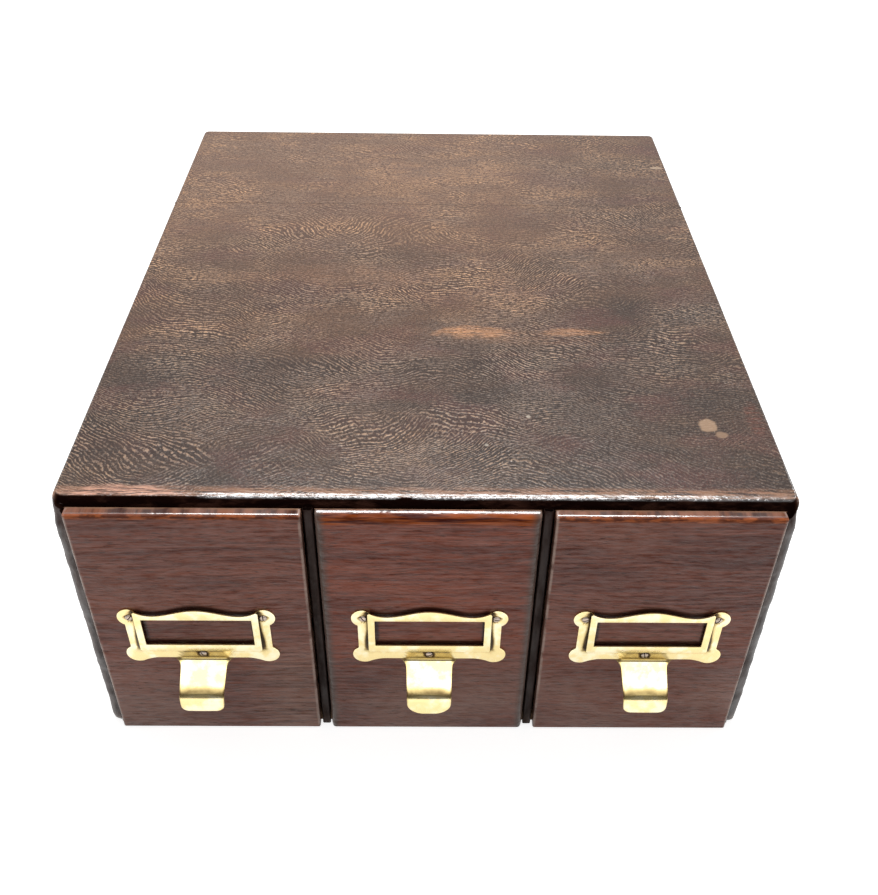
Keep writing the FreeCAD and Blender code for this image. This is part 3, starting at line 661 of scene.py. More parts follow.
def mahogany(settings):
    """Satin red-brown drawer fronts: fine grain and pores along x, orange-red wood with painted light along
    the upper round, dull ends, painted shadow round the pulls.
    """
    f = Finish("mahogany")
    warp = f.noise(f.stretch((1.0, 1.0, 2.5)), 7.0, 2.0)
    px, py, pz = f.axes(f.place)
    level = pz + warp * 0.012

    def grained(rate_x, rate_z, detail, rough):
        return f.noise(f.join(px * rate_x, py, level * rate_z), 1.0, detail, rough)

    grain = grained(11.0, 380.0, 4.0, 0.65)
    figure = grained(3.2, 21.0, 2.0, 0.5)
    pore = f.span(grained(130.0, 1300.0, 2.0, 0.5), 0.56, 0.68)
    fleck = f.span(grained(60.0, 760.0, 2.0, 0.6), 0.56, 0.70)
    patch = f.cloud(8.0, 3.0, 0.55)
    tone = grain * 0.62 + figure * 0.38
    streak = grained(24.0, 420.0, 3.0, 0.6)
    mottle = grained(85.0, 420.0, 4.0, 0.65)
    richer, fall, reach, varnished = (f.mark(name) for name in ("rich", "fall", "reach", "varnished"))

    # Lighter and greyer towards the foot of each front, in patches, and a lighter patch low on the left front.
    greyer_low = f.span(pz, 0.11, 0.02) * f.span(f.cloud(11.0, 3.0, 0.6), 0.36, 0.60)
    lighter_patch = f.span(px, -0.150, -0.098) * f.math("LESS_THAN", px, -0.080) * f.span(pz, 0.125, 0.070)
    # glow and blaze: orange-red wood and painted light along the upper round
    glow = f.span(fall, 0.03, 0.09) * f.span(fall, 1.18, 0.96)
    blaze = f.blend(f.span(streak, 0.36, 0.62), (0.070, 0.010, 0.005), settings.front_glow)
    plain = f.blend(f.span(mottle, 0.42, 0.60), (0.130, 0.036, 0.018), (0.480, 0.130, 0.042))
    # A thin light line along the ends of the outer fronts: worn edge and painted highlight.
    arris_wear_and_highlight = f.span(reach, 0.0026, 0.0010) * f.span(reach, 0.0, 0.0004) * (richer * -0.7 + 1.0)
    arris_wear_and_highlight = arris_wear_and_highlight * f.span(f.cloud(60.0, 3.0, 0.6), 0.34, 0.54)
    colour = f.layers(
        f.blend(f.span(tone, 0.36, 0.64), settings.front_dark, settings.front_red),
        (f.span(patch, 0.46, 0.70) * 0.55, (0.300, 0.115, 0.075)),
        (richer * f.span(pz, 0.02, 0.17),
         f.blend(f.span(tone, 0.36, 0.66), (0.130, 0.036, 0.024), (0.315, 0.094, 0.056))),
        (greyer_low * 0.70, (0.320, 0.175, 0.135)),
        (lighter_patch * 0.75, f.blend(f.span(tone, 0.38, 0.62), (0.170, 0.080, 0.055), (0.400, 0.215, 0.160))),
        (fleck * 0.32, (0.060, 0.022, 0.016)),
        (pore * 0.60, (0.022, 0.010, 0.008)),
        (glow, f.blend(richer * -0.85 + 0.85, blaze, plain)),
        (f.span(fall, 0.03, 0.0),
         f.blend(f.span(mottle, 0.38, 0.62), (0.060, 0.022, 0.015), (0.260, 0.100, 0.055))),
        (f.mark("end") * 0.6, (0.125, 0.080, 0.060)),
        (richer * f.span(reach, 0.0085, 0.0020) * 0.8, (0.090, 0.072, 0.060)),
        # painted shadow on the wood round each pull
        (pull_painted_shadow(f, px, pz) * 0.85, (0.022, 0.006, 0.004)),
        (arris_wear_and_highlight * 0.75, (0.480, 0.340, 0.280)))
    inner = f.blend(f.span(tone, 0.36, 0.64), (0.150, 0.070, 0.040), (0.280, 0.150, 0.090))
    colour = f.blend(varnished, f.blend(pore * 0.5, inner, (0.070, 0.030, 0.018)), colour)
    normal = f.bump(f.cloud(38.0, 1.0), 0.0008, 0.35)
    normal = f.bump(grain * 0.5 - pore * 0.6, 0.00016, 0.6, normal)
    sheen = f.math("MULTIPLY_ADD", grained(70.0, 500.0, 4.0, 0.75), 1.20, -0.37, clamp=True)
    sheen = sheen * (varnished * 0.7 + 0.3)
    lit = f.span(fall, 0.0, 0.003) * f.span(fall, 0.09, 0.04) * (varnished * f.span(mottle, 0.28, 0.40))
    return f.surface(colour, grain * 0.14 + 0.22, normal, coat=lit, coat_rough=0.14, specular=sheen)


def blackened_wood(name, settings, depth):
    """Sides and strips: dull, nearly black wood with upright grain, rubbed brown here and there.

    The worn front edges are glossier in places. depth, from 0 to 1, darkens wood that lies in shade.
    """
    f = Finish(name)
    px, py, pz = f.axes(f.place)

    def upright(rate, rise, detail, rough):
        return f.noise(f.join(px * rate, py * rate, pz * rise), 1.0, detail, rough)

    grain = upright(180.0, 12.0, 4.0, 0.6)
    pore = f.span(upright(1100.0, 45.0, 2.0, 0.5), 0.56, 0.70)
    blot = upright(26.0, 6.0, 4.0, 0.6)
    dark = upright(15.0, 4.0, 3.0, 0.5)
    colour = f.layers(
        f.blend(f.span(grain, 0.34, 0.68), settings.edge, (0.095, 0.058, 0.046)),
        (f.span(blot, 0.50, 0.74, 0.0, 0.5), (0.150, 0.080, 0.055)),
        (f.span(dark, 0.56, 0.38, 0.0, 0.5), (0.018, 0.010, 0.008)),
        (pore * 0.6, (0.012, 0.007, 0.006)),
        (f.span(pz, 0.205, 0.225, 0.0, 0.7), (0.055, 0.022, 0.016)),
        (f.span(pz, 0.016, 0.004, 0.0, 0.6), (0.125, 0.072, 0.050)),
        (depth, (0.010, 0.005, 0.004)))
    normal = f.bump(grain * 0.8 + f.cloud(420.0, 3.0, 0.65) * 0.5, 0.0004, 0.7)
    patchy = f.span(f.noise(f.stretch((1.0, 1.0, 0.4)), 90.0, 4.0, 0.65), 0.36, 0.68, -0.15, 0.55)
    sheen = f.math("MULTIPLY_ADD", f.mark("edge"), patchy, grain * 0.3 + 0.2, clamp=True)
    sheen = sheen * (1 - depth) ** 2
    return f.surface(colour, grain * 0.2 + 0.34, normal, specular=sheen)


def plain_wood(name, colour, along, gloss=0.62, scale=1.0):
    """Unfinished or lightly oiled wood with its grain along one axis."""
    f = Finish(name)
    rate = [120.0 * scale] * 3
    rate["xyz".index(along)] = 7.0 * scale
    grain = f.noise(f.stretch(rate), 1.0, 4.0, 0.6, distortion=0.4)
    fibre = f.noise(f.stretch([r * 5 for r in rate]), 1.0, 3.0, 0.6)
    age = f.cloud(9.0, 4.0, 0.55)

    def shade(level):
        return tuple(min(1.0, c * level) for c in colour)

    stained = f.layers(
        f.blend(f.span(grain, 0.32, 0.68), shade(0.52), shade(1.18)),
        (f.span(fibre, 0.55, 0.75) * 0.35, shade(0.4)),
        (f.span(age, 0.40, 0.75) * 0.45, shade(0.55)))
    normal = f.bump(grain + fibre * 0.7, 0.0002, 0.6)
    return f.surface(stained, fibre * 0.15 + gloss, normal, specular=0.35)


def polished_brass(settings):
    """Polished brass: bright faces, brown tarnish and painted shade where marked, fine scratches."""
    f = Finish("polished_brass")
    cloud = f.cloud(130.0, 4.0, 0.6)
    # age: random tarnish plus the marked tarnish and painted shade
    age = (cloud - 0.5) * 0.45 + f.mark("stain")
    brown = f.span(age, 0.45, 0.95)
    colour = f.layers(
        f.blend(f.span(f.cloud(75.0, 4.0, 0.6), 0.42, 0.62), settings.brass, (0.98, 0.89, 0.60)),
        (f.span(age, 0.08, 0.55), (0.52, 0.40, 0.17)),
        (brown, settings.tarnish),
        (f.span(age, 0.95, 1.25), (0.035, 0.022, 0.010)))
    scratch = f.noise(f.stretch((300.0, 300.0, 2600.0)), 1.0, 2.0, 0.6)
    normal = f.bump(scratch, 0.00002, 0.5)
    normal = f.bump(f.cloud(90.0, 2.0), 0.0004, 0.35, normal)
    return f.surface(colour, cloud * 0.10 + 0.15 + brown * 0.25, normal, metallic=1.0)


def dull_steel(settings):
    """Screws: dull steel with painted shade in the slots and round the rims, where marked."""
    f = Finish("dull_steel")
    cloud = f.cloud(500.0, 3.0, 0.6)
    colour = f.blend(f.span(cloud, 0.35, 0.7), settings.steel, (0.36, 0.31, 0.27))
    colour = f.blend(f.mark("stain"), colour, (0.035, 0.026, 0.020))
    return f.surface(colour, cloud * 0.2 + 0.26, f.bump(cloud, 0.00006, 0.5), metallic=1.0)


def japanned_steel():
    """The followers' brackets: black japanned sheet with rubbed edges."""
    f = Finish("japanned_steel")
    cloud = f.cloud(160.0, 4.0, 0.6)
    colour = f.blend(f.span(cloud, 0.55, 0.8), (0.018, 0.018, 0.020), (0.085, 0.080, 0.075))
    return f.surface(colour, cloud * 0.2 + 0.25, f.bump(cloud, 0.0001, 0.4), specular=0.6)


# --- Pieces --------------------

def top_shell(box, rounds, corners, lip, housing, ripple, seed):
    """A board of the top: rings from the middle of its face over a rounded edge and down to its underside.

    rounds are the radii along the front, right, back and left edges, corners those of the plan's corners.
    A ring's inset is r (1 - sin t) and its drop r (1 - cos t), for t from 0 to 90 degrees.
    """
    (x0, y0, z0), (x1, y1, z1) = box
    rounds = np.array(rounds)
    counts = (110, 60)
    normals, shares = ring_ways(counts)
    radius = shares @ rounds
    outer = ring((x0, x1, y0, y1), corners, counts)
    walk = np.concatenate([[0], np.cumsum(np.linalg.norm(np.diff(outer, axis=0), axis=1))])
    uneven = ripple * (wander(walk, 0.011, seed) + 0.6 * wander(walk, 0.0037, seed + 1)) * shares[:, 0]
    uneven += 0.25 * ripple * wander(walk, 0.02, seed + 2)
    rows, edge, under = [], [], []

    def add(points, heights, edge_mark, under_mark):
        rows.append(np.column_stack([points, np.broadcast_to(heights, len(points))]))
        edge.append(np.broadcast_to(edge_mark, len(points)))
        under.append(np.broadcast_to(under_mark, len(points)))

    add(inset_ring((x0, x1, y0, y1), corners, rounds + 0.8 * MM, counts), z1, 0.0, 0.0)
    for t in np.linspace(0, math.pi / 2, 15):
        points = inset_ring((x0, x1, y0, y1), corners, rounds * (1 - math.sin(t)), counts)
        points = points - normals * (uneven * math.sin(t))[:, None]
        below = shares[:, 0] * ease(math.degrees(t), *GRIME_AND_SHADE_TURN)
        add(points, z1 - radius * (1 - math.cos(t)), math.sin(t), below)
    wall = np.maximum(radius, lip)
    edge_points = rows[-1][:, :2]
    add(edge_points, z1 - wall, 1.0, shares[:, 0])
    housed = edge_points.copy()
    housed[:, 0] = np.clip(housed[:, 0], -housing, housing)
    for drop in (wall, z1 - z0):
        add(housed, z1 - drop, 0.5, 1 - shares[:, 2])
    ahead = ease(outer[:, 1], *(y0 + reach for reach in GLOSS_REACH))
    return Shell(np.array(rows), edge=np.array(edge), under=np.array(under), ahead=ahead)


def build_top():
    """Both boards of the top."""
    scene = bpy.context.scene
    sizes = scene.cabinet_carcass
    finish = crazed_shellac(scene.cabinet_finish)
    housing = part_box("right_side")[0].x
    small = 2 * sizes.joint_round
    far = 5 * MM
    boards = (
        ("top_front_board", "front_top", sizes.nose, sizes.joint_round,
         (sizes.left_corner, sizes.right_corner, small, small)),
        ("top_rear_board", "rear_top", sizes.joint_round, sizes.back_round, (small, small, far, far)),
    )
    for seed, (node, name, front, back, corners) in enumerate(boards):
        rounds = (front, sizes.end_round, back, sizes.end_round)
        shell = top_shell(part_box(node), rounds, corners, sizes.lip, housing, sizes.ripple, 10 * seed)
        make_piece(name, [shell], "carcass", finish, (node,))


def post_shell(box, corners, end_round, ripple, seed, foot_wear=0.0, head_back=0.0, head_round=0.0):
    """An upright board: its plan, a rounded rectangle, carried up from its foot to its head.

    Its front draws back by head_back below the head, and then by a quarter round's r - sqrt(r^2 - h^2).
    """
    (x0, y0, z0), (x1, y1, z1) = box
    counts = (3, 24)
    normals, shares = ring_ways(counts)
    turn = np.linspace(0, math.pi / 2, 5)
    end = end_round * (1 - np.sin(turn))
    rise = end_round * (1 - np.cos(turn))
    levels = np.linspace(z0 + end_round, z1 - end_round, 70)[1:-1]
    heights = np.concatenate([z0 + rise, levels, (z1 - rise)[::-1]])
    insets = np.concatenate([end, np.zeros(len(levels)), end[::-1]])
    worn = ripple * (wander(heights, 0.009, seed) + 0.7 * wander(heights, 0.0031, seed + 1))
    foot = foot_wear * np.clip(1 - (heights - z0) / FOOT_REACH, 0, 1) ** 2
    begins, full, curve = (z1 - part * head_round for part in (1.4, 0.7, 0.75))
    above = np.clip(heights - curve, 0, head_round)
    drawn = head_back * ease(heights, begins, full)
    drawn = drawn + head_round - np.sqrt(head_round ** 2 - above ** 2)
    rows = []
    for height, inset, wear, chip, back in zip(heights, insets, worn, foot, drawn):
        points = inset_ring((x0, x1, y0, y1), corners, (inset,) * 4, counts)
        points[:, 1] += back * np.clip(1 - (points[:, 1] - y0) / HEAD_REACH, 0, 1)
        near = shares[:, 0] + 0.4 * (shares[:, 1] + shares[:, 3]) * (points[:, 1] < y0 + WEAR_REACH)
        points = points - normals * (wear * near + chip * shares[:, 0])[:, None]
        rows.append(np.column_stack([points, np.full(len(points), height)]))
    return Shell(np.array(rows), edge=np.broadcast_to(shares[:, 0], (len(rows), len(shares))))


def build_sides():
    """Both sides, with their outer front edges rounded over and worn."""
    scene = bpy.context.scene
    sizes = scene.cabinet_carcass
    finish = blackened_wood("blackened_sides", scene.cabinet_finish, 0.0)
    small = 1.2 * MM
    plans = (
        ("left", (sizes.side_nose, small, small, small)),
        ("right", (small, sizes.side_nose, small, small)),
    )
    for seed, (hand, corners) in enumerate(plans):
        node = hand + "_side"
        head_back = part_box("top_front_board")[0].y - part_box(node)[0].y + HEAD_GAP
        shell = post_shell(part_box(node), corners, 0.5 * MM, 2 * sizes.ripple, 30 + 5 * seed, sizes.foot_wear,
                           head_back, sizes.nose)
        make_piece(hand + "_side_board", [shell], "carcass", finish, (node,))


def build_strips():
    """The thin facing strips on the dividers' front edges."""
    scene = bpy.context.scene
    finish = blackened_wood("blackened_strips", scene.cabinet_finish, IN_SHADE)
    for seed, hand in enumerate(("left", "right")):
        node = hand + "_facing_strip"
        shell = post_shell(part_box(node), (1.1 * MM, 1.1 * MM, 0.5 * MM, 0.5 * MM),
                           0.3 * MM, 0.5 * scene.cabinet_carcass.ripple, 50 + 5 * seed)
        make_piece(hand + "_edge_strip", [shell], "carcass", finish, (node,))


def cut_behind(node, plane_y):
    """A merged copy of a node's mesh: only what lies behind a plane is kept, closed by a flat face."""
    work = bmesh.new()
    work.from_mesh(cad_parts[node].data)
    bmesh.ops.remove_doubles(work, verts=work.verts, dist=1e-6)
    cut = bmesh.ops.bisect_plane(work, geom=work.verts[:] + work.edges[:] + work.faces[:], dist=1e-7,
                                 plane_co=(0, plane_y, 0), plane_no=(0, -1, 0), clear_outer=True)
    rim = [e for e in cut["geom_cut"] if isinstance(e, bmesh.types.BMEdge)]
    bmesh.ops.edgeloop_fill(work, edges=rim)
    mesh = bpy.data.meshes.new(node + "_behind")
    work.to_mesh(mesh)
    work.free()
    return mesh


def front_shell(box, rear, top_round, end_round, foot_round, corner, rich):
    """A lipped front's face: at each place it drops by the larger of the drops of its two edge profiles.

    A quarter round of radius r drops by r (1 - cos t) at the inset r (1 - sin t).
    """
    (x0, y0, z0), (x1, _, z1) = box
    thick = rear - y0
    xs, across = edge_profile(x0, x1, end_round, end_round, thick)
    zs, upright = edge_profile(z0, z1, foot_round, top_round, thick, inner=30)
    a, b = np.meshgrid(xs, zs, indexing="ij")
    ends, rails = np.meshgrid(across, upright, indexing="ij")
    drop = np.minimum((ends ** 8 + rails ** 8) ** 0.125, thick)
    for wall in (np.s_[:3], np.s_[-3:], np.s_[:, :3], np.s_[:, -3:]):
        drop[wall] = np.maximum(ends, rails)[wall]
    a, b = round_corners(a, b, x0, x1, z0, z1, corner)
    face = np.stack([a, y0 + drop, b], -1)
    back = np.stack([a, np.full_like(a, y0 + thick), b], -1)
    end = ease(ends / end_round, 0.02, 0.15) * (ends > rails)
    shell = Shell(face, around=False, varnished=1.0, fall=(z1 - b) / top_round,
                  reach=np.minimum(a - x0, x1 - a), end=end * (1 - 0.6 * rich), rich=rich)
    return [shell, Shell(back, around=False)]


def build_fronts():
    """The three lipped drawer fronts; what lies behind the lip keeps the dovetail sockets."""
    scene = bpy.context.scene
    sizes = scene.cabinet_front
    finish = mahogany(scene.cabinet_finish)
    for i, bay in enumerate(BAYS):
        node = bay + "_drawer_front"
        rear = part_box(bay + "_drawer_left_board")[0].y
        shells = front_shell(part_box(node), rear, sizes.top_rounds[i], sizes.end_rounds[i],
                             sizes.foot_round, sizes.corner, float(bay == "middle"))
        make_piece(bay + "_front", shells, bay + "_drawer", finish, (node,),
                   extra=cut_behind(node, rear))


# --- Brass pulls --------------------

def hermite(start, start_way, end, end_way, count):
    """Cubic curve from start to end that leaves and arrives along the given vectors."""
    t = np.linspace(0, 1, count)[:, None]
    start, start_way, end, end_way = (np.array(v, float) for v in (start, start_way, end, end_way))
    return ((2 * t ** 3 - 3 * t ** 2 + 1) * start + (t ** 3 - 2 * t ** 2 + t) * start_way
            + (3 * t ** 2 - 2 * t ** 3) * end + (t ** 3 - t ** 2) * end_way)


def arc(centre, radius, start, end, count):
    """Points on a circle from one angle to another, in degrees."""
    turn = np.radians(np.linspace(start, end, count))
    return np.array(centre) + radius * np.stack([np.cos(turn), np.sin(turn)], -1)


def on_circle(centre, radius, angle):
    """The point of a circle at an angle in degrees, and the way along the circle there."""
    turn = math.radians(angle)
    return arc(centre, radius, angle, angle, 1)[0], np.array([-math.sin(turn), math.cos(turn)])


def line(start, end, count):
    """Evenly spaced points from start to end."""
    return np.array(start) + (np.array(end) - np.array(start)) * np.linspace(0, 1, count)[:, None]


def resample(points, count):
    """The same line with count evenly spaced points."""
    walk = np.concatenate([[0], np.cumsum(np.linalg.norm(np.diff(points, axis=0), axis=1))])
    want = np.linspace(0, walk[-1], count)
    return np.stack([np.interp(want, walk, points[:, k]) for k in range(points.shape[1])], -1)


def pull_loops(s):
    """Three loops round the card frame: the window, the raised frame's edge and the flange's edge.

    Each is made of the same stretches with the same counts: half the foot, lower corner, upright, upper
    corner and half the rail, and then the mirror image. Also returned is 1 where there is a flange.
    """
    counts = (16, 26, 22, 34, 44)
    small, soft = 0.5 * MM, 1.6 * MM
    w, low, high = s.window_half, s.window_foot, s.window_head
    window = [
        line((0, low), (w - small, low), counts[0]),
        arc((w - small, low + small), small, -90, 0, counts[1]),
        line((w, low + small), (w, high - small), counts[2]),
        arc((w - small, high - small), small, 0, 90, counts[3]),
        line((w - small, high), (0, high), counts[4])]
    fh, foot = s.frame_half, s.frame_foot
    upper, flat, lobe = (s.lobe_x, s.lobe_z), (s.lobe_x, -s.lobe_z), s.lobe_radius
    leave, enter = 125.0, -122.0
    joined, way = on_circle(upper, lobe, leave)
    entry, enter_way = on_circle(flat, lobe, enter)
    straight_end = (s.lobe_x - 14.5 * MM, s.flange_foot)
    rail = np.concatenate([
        hermite(joined, way * 14 * MM, (s.dip_x, s.dip_z), (-12 * MM, 0), 24)[:-1],
        hermite((s.dip_x, s.dip_z), (-30 * MM, 0), (0, s.crest_z), (-34 * MM, 0), 40)])
    shoulder = s.lobe_z + 5.6 * MM
    raised = [
        line((0, foot), (fh - soft, foot), counts[0]),
        arc((fh - soft, foot + soft), soft, -90, 0, counts[1]),
        line((fh, foot + soft), (fh, shoulder), counts[2]),
        hermite((fh, shoulder), (0, 1.8 * MM), joined, way * 1.6 * MM, counts[3]),
        resample(rail, counts[4])]
    meet = math.degrees(math.acos((s.flange_half - s.lobe_x) / lobe))
    sweep = np.concatenate([
        hermite(straight_end, (7 * MM, 0), entry, enter_way * 5 * MM, 16)[:-1],
        arc(flat, lobe, enter, meet, 60)])
    crown = arc(upper, lobe, -meet, leave, 60)
    flange = [
        line((0, s.flange_foot), straight_end, counts[0]),
        resample(sweep, counts[1]),
        line(sweep[-1], crown[0], counts[2]),
        resample(crown, counts[3]),
        raised[4]]
    level = np.concatenate([np.ones(sum(counts[:3]) - 2),
                            1 - ease(np.linspace(0, 1, counts[3])[1:], 0.78, 1.0), np.zeros(counts[4] - 1)])
    loops = []
    for parts in (window, raised, flange):
        half = np.concatenate([part if i == 0 else part[1:] for i, part in enumerate(parts)])
        mirror = half[-2:0:-1] * np.array([-1, 1])
        loops.append(np.concatenate([half, mirror]))
    level = np.concatenate([level, level[-2:0:-1]])
    return loops, level


def toward(start, end, distance):
    """Points that lie a distance from start towards end."""
    gap = end - start
    size = np.maximum(np.linalg.norm(gap, axis=1), 1e-9)[:, None]
    return start + gap * np.minimum(distance / size, 1.0)


def frame_shell(s):
    """The card frame and flange: a section of pressed sheet carried round the window.

    Rows 1 to 5 round the window's edge, 7 to 11 the raised frame's and 17 to 21 the flange's. Rows 12 and 13
    are the foot of the frame's wall.
    """
    (window, raised, flange), level = pull_loops(s)
    high, sheet, edge = s.frame_raise, s.sheet, s.edge
    lower = high - sheet
    foot = level * sheet + (1 - level) * lower
    bottom = (1 - level) * lower

    def away(distance):
        """Beyond the raised edge towards the flange's, as far as there is a flange."""
        return toward(raised, flange, distance)

    turn = np.linspace(0, math.pi / 2, 5)
    rows = [(window, np.full(len(window), lower))]
    for t in turn:
        rows.append((toward(window, raised, edge * (1 - math.cos(t))), high - edge * (1 - math.sin(t))))
    rows.append(((window + raised) / 2, high))
    for t in turn[::-1]:
        rows.append((toward(raised, window, edge * (1 - math.cos(t))), high - edge * (1 - math.sin(t))))
    gap = flange - raised
    sideways = np.abs(gap[:, 0]) / np.maximum(np.linalg.norm(gap, axis=1), 1e-9)
    slope = (0.12 * MM + s.frame_slope * ease(sideways, 0.6, 0.95) * level)[:, None]
    rows.append((away(slope * 0.85), foot + 0.25 * MM * level))
    rows.append((away(slope), foot))
    for part in (0.2, 0.5, 0.75):
        inner, outer = away(slope), toward(flange, raised, edge)
        rows.append((inner + (outer - inner) * part, foot))
    for t in turn[::-1]:
        outer = toward(flange, raised, edge * (1 - math.cos(t)))
        rows.append((outer, foot - edge * (1 - math.sin(t)) * level))
    rows.append((flange, bottom))
    rows.append((toward(raised, window, sheet), bottom))
    rows.append((toward(raised, window, sheet), np.full(len(window), lower)))
    heights = [np.broadcast_to(h, (len(window),)) for _, h in rows]
    grid = np.stack([np.column_stack([p[:, 0], -h, p[:, 1]]) for (p, _), h in zip(rows, heights)])
    x, z = grid[..., 0], grid[..., 2]
    # Painted shade on the brass: in the groove at the foot of the frame's wall, with dirt; on the lower flange
    # by the screw; along the rounded rims, with tarnish; and a shadow ring round each screw.
    depth = np.interp(np.arange(len(rows)), (10, 11, 12, 13, 14, 15), (0, 0.7, 1, 1, 0.35, 0))[:, None]
    groove_shade = depth * level * np.where(z > s.frame_foot + 2 * MM, 1.15, 0.85)
    slant = 19.5 * MM + 0.45 * (s.flange_foot - z)
    low_flange_shade = ease(slant - np.abs(x), -0.6 * MM, 0.6 * MM) * (z < s.frame_foot + 0.3 * MM)
    screw_shadow = np.zeros_like(x)
    for px, pz in screw_places(s):
        screw_shadow = np.maximum(screw_shadow, 1 - ease(np.hypot(x - px, z - pz), 3.0 * MM, 4.4 * MM))
    rim_shade = 0.6 * np.isin(np.arange(len(rows)), (1, 2, 10, 11, 20, 21))[:, None]
    stain = np.clip(groove_shade + 0.5 * low_flange_shade + rim_shade + screw_shadow * (grid[..., 1] > -sheet - 1e-6), 0, 1.5)
    return Shell(grid, around=True, closed=True, stain=stain)


def bent_path(corners, step):
    """A line through corners (out, height, bend radius) with its bends as arcs, evenly sampled."""
    places = np.array([c[:2] for c in corners], float)
    pieces = [places[:1]]
    for i in range(1, len(corners) - 1):
        before, after = places[i - 1] - places[i], places[i + 1] - places[i]
        before, after = before / np.linalg.norm(before), after / np.linalg.norm(after)
        half = math.acos(np.clip(before @ after, -1, 1)) / 2
        radius = corners[i][2]
        middle = (before + after) / np.linalg.norm(before + after)
        centre = places[i] + middle * radius / math.sin(half)
        start, end = places[i] + before * radius / math.tan(half), places[i] + after * radius / math.tan(half)
        t = np.linspace(0, 1, 16)[:, None]
        chord = (start - centre) * (1 - t) + (end - centre) * t
        pieces.append(centre + chord / np.linalg.norm(chord, axis=1)[:, None] * radius)
    pieces.append(places[-1:])
    points = np.concatenate(pieces)
    total = np.linalg.norm(np.diff(points, axis=0), axis=1).sum()
    return resample(points, int(total / step))


def tab_shell(s, tip_z, squareness):
    """The finger tab: a flat oval section carried down a bent path, flared at its root, closed at its tip.

    Near its tip its half width shrinks by the factor (1 - t^n)^(1/n), n being its squareness.
    """
    corners = [(s.sheet / 2, s.flange_foot + 1.6 * MM, 0), (s.sheet / 2, s.bend_z, s.bend_round),
               (s.knee_reach, s.knee_z, s.knee_round), (s.tip_reach, tip_z, 0)]
    path = bent_path(corners, 0.45 * MM)
    way = np.gradient(path, axis=0)
    way /= np.linalg.norm(way, axis=1)[:, None]
    face = np.stack([-way[:, 1], way[:, 0]], -1)
    walk = np.concatenate([[0], np.cumsum(np.linalg.norm(np.diff(path, axis=0), axis=1))])
    left = walk[-1] - walk
    root = np.clip(s.root_fillet - np.clip(walk - 1.2 * MM, 0, None), 0, None)
    flare = s.root_fillet - np.sqrt(np.maximum(s.root_fillet ** 2 - root ** 2, 0))
    plain = s.neck_half + (s.tip_half - s.neck_half) * walk / walk[-1]
    shut = np.clip(1 - left / s.tip_depth, 0, 1)
    width = (plain + flare) * (1 - shut ** squareness) ** (1 / squareness)
    half = (s.sheet / 2 - 0.03 * MM) * np.minimum(1, np.sqrt(np.clip(left / (0.6 * MM), 0, 1)))
    across, side, flat = np.linspace(-1, 1, FACE_STEPS), np.ones(RIM_STEPS), np.ones(FACE_STEPS)
    round_end = np.radians(np.linspace(-90, 90, RIM_STEPS + 2)[1:-1])
    u = np.concatenate([across, side, across[::-1], -side])
    push = np.concatenate([0 * flat, np.cos(round_end), 0 * flat, -np.cos(round_end)])
    lift = np.concatenate([flat, -np.sin(round_end), -flat, np.sin(round_end)])
    x = np.maximum(width - half, 0)[:, None] * u[None] + half[:, None] * push[None]
    crown = 0.35 * MM * (1 - (x / s.neck_half) ** 2) * ease(walk, 4 * MM, 12 * MM)[:, None]
    off = half[:, None] * lift[None] + np.clip(crown, 0, None)
    out = path[:, None, 0] + face[:, None, 0] * off
    z = path[:, None, 1] + face[:, None, 1] * off
    grid = np.stack([x, -out, z], -1)
    # Painted shade at the tab's root and, with tarnish, along its side edges; a painted dark reflection across
    # it at the knee.
    root_shade = (1 - ease(walk, 2.5 * MM, 6.0 * MM))[:, None] * 0.55
    knee_walk = walk[np.argmin(np.hypot(path[:, 0] - s.knee_reach, path[:, 1] - s.knee_z))]
    arch = knee_walk - 3.0 * MM + 2.0 * MM * (x / s.neck_half) ** 2
    knee_reflection = (walk[:, None] - arch) / (np.where(walk[:, None] > arch, 2.2, 4.2) * MM)
    rim = ease(np.abs(x), plain[:, None] - 1.2 * MM, plain[:, None] - 0.2 * MM) * 0.35
    return Shell(grid, around=True, stain=np.clip(root_shade + np.exp(-knee_reflection ** 2) * 0.72 + rim, 0, 1))


def screw_places(s):
    """Middle of each screw of a pull: both upper lobes and the foot."""
    return ((-s.lobe_x, s.lobe_z), (s.lobe_x, s.lobe_z), (0.0, -s.lobe_z))


def pull_middle(bay):
    """Where a pull's own origin lies: on the wood, in the middle of its screws."""
    low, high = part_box(bay + "_drawer_label_pull")
    s = bpy.context.scene.cabinet_pull
    return np.array([(low.x + high.x) / 2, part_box(bay + "_drawer_front")[0].y, high.z - s.crest_z])


def moved(shell, offset):
    """The same shell, moved."""
    shell.points = shell.points + offset
    return shell


def build_pulls():
    """The brass pulls: raised card frame, flange with lobes, and finger tab."""
    scene = bpy.context.scene
    s = scene.cabinet_pull
    finish = polished_brass(scene.cabinet_finish)
    for bay in BAYS:
        place = pull_middle(bay)
        outer = bay != "middle"
        tab = tab_shell(s, s.tip_z + outer * s.short_tab, 4.5 if outer else 2.3)
        shells = [moved(frame_shell(s), place), moved(tab, place)]
        make_piece(bay + "_pull", shells, bay + "_drawer", finish,
                   (bay + "_drawer_label_pull",), sharp=50)


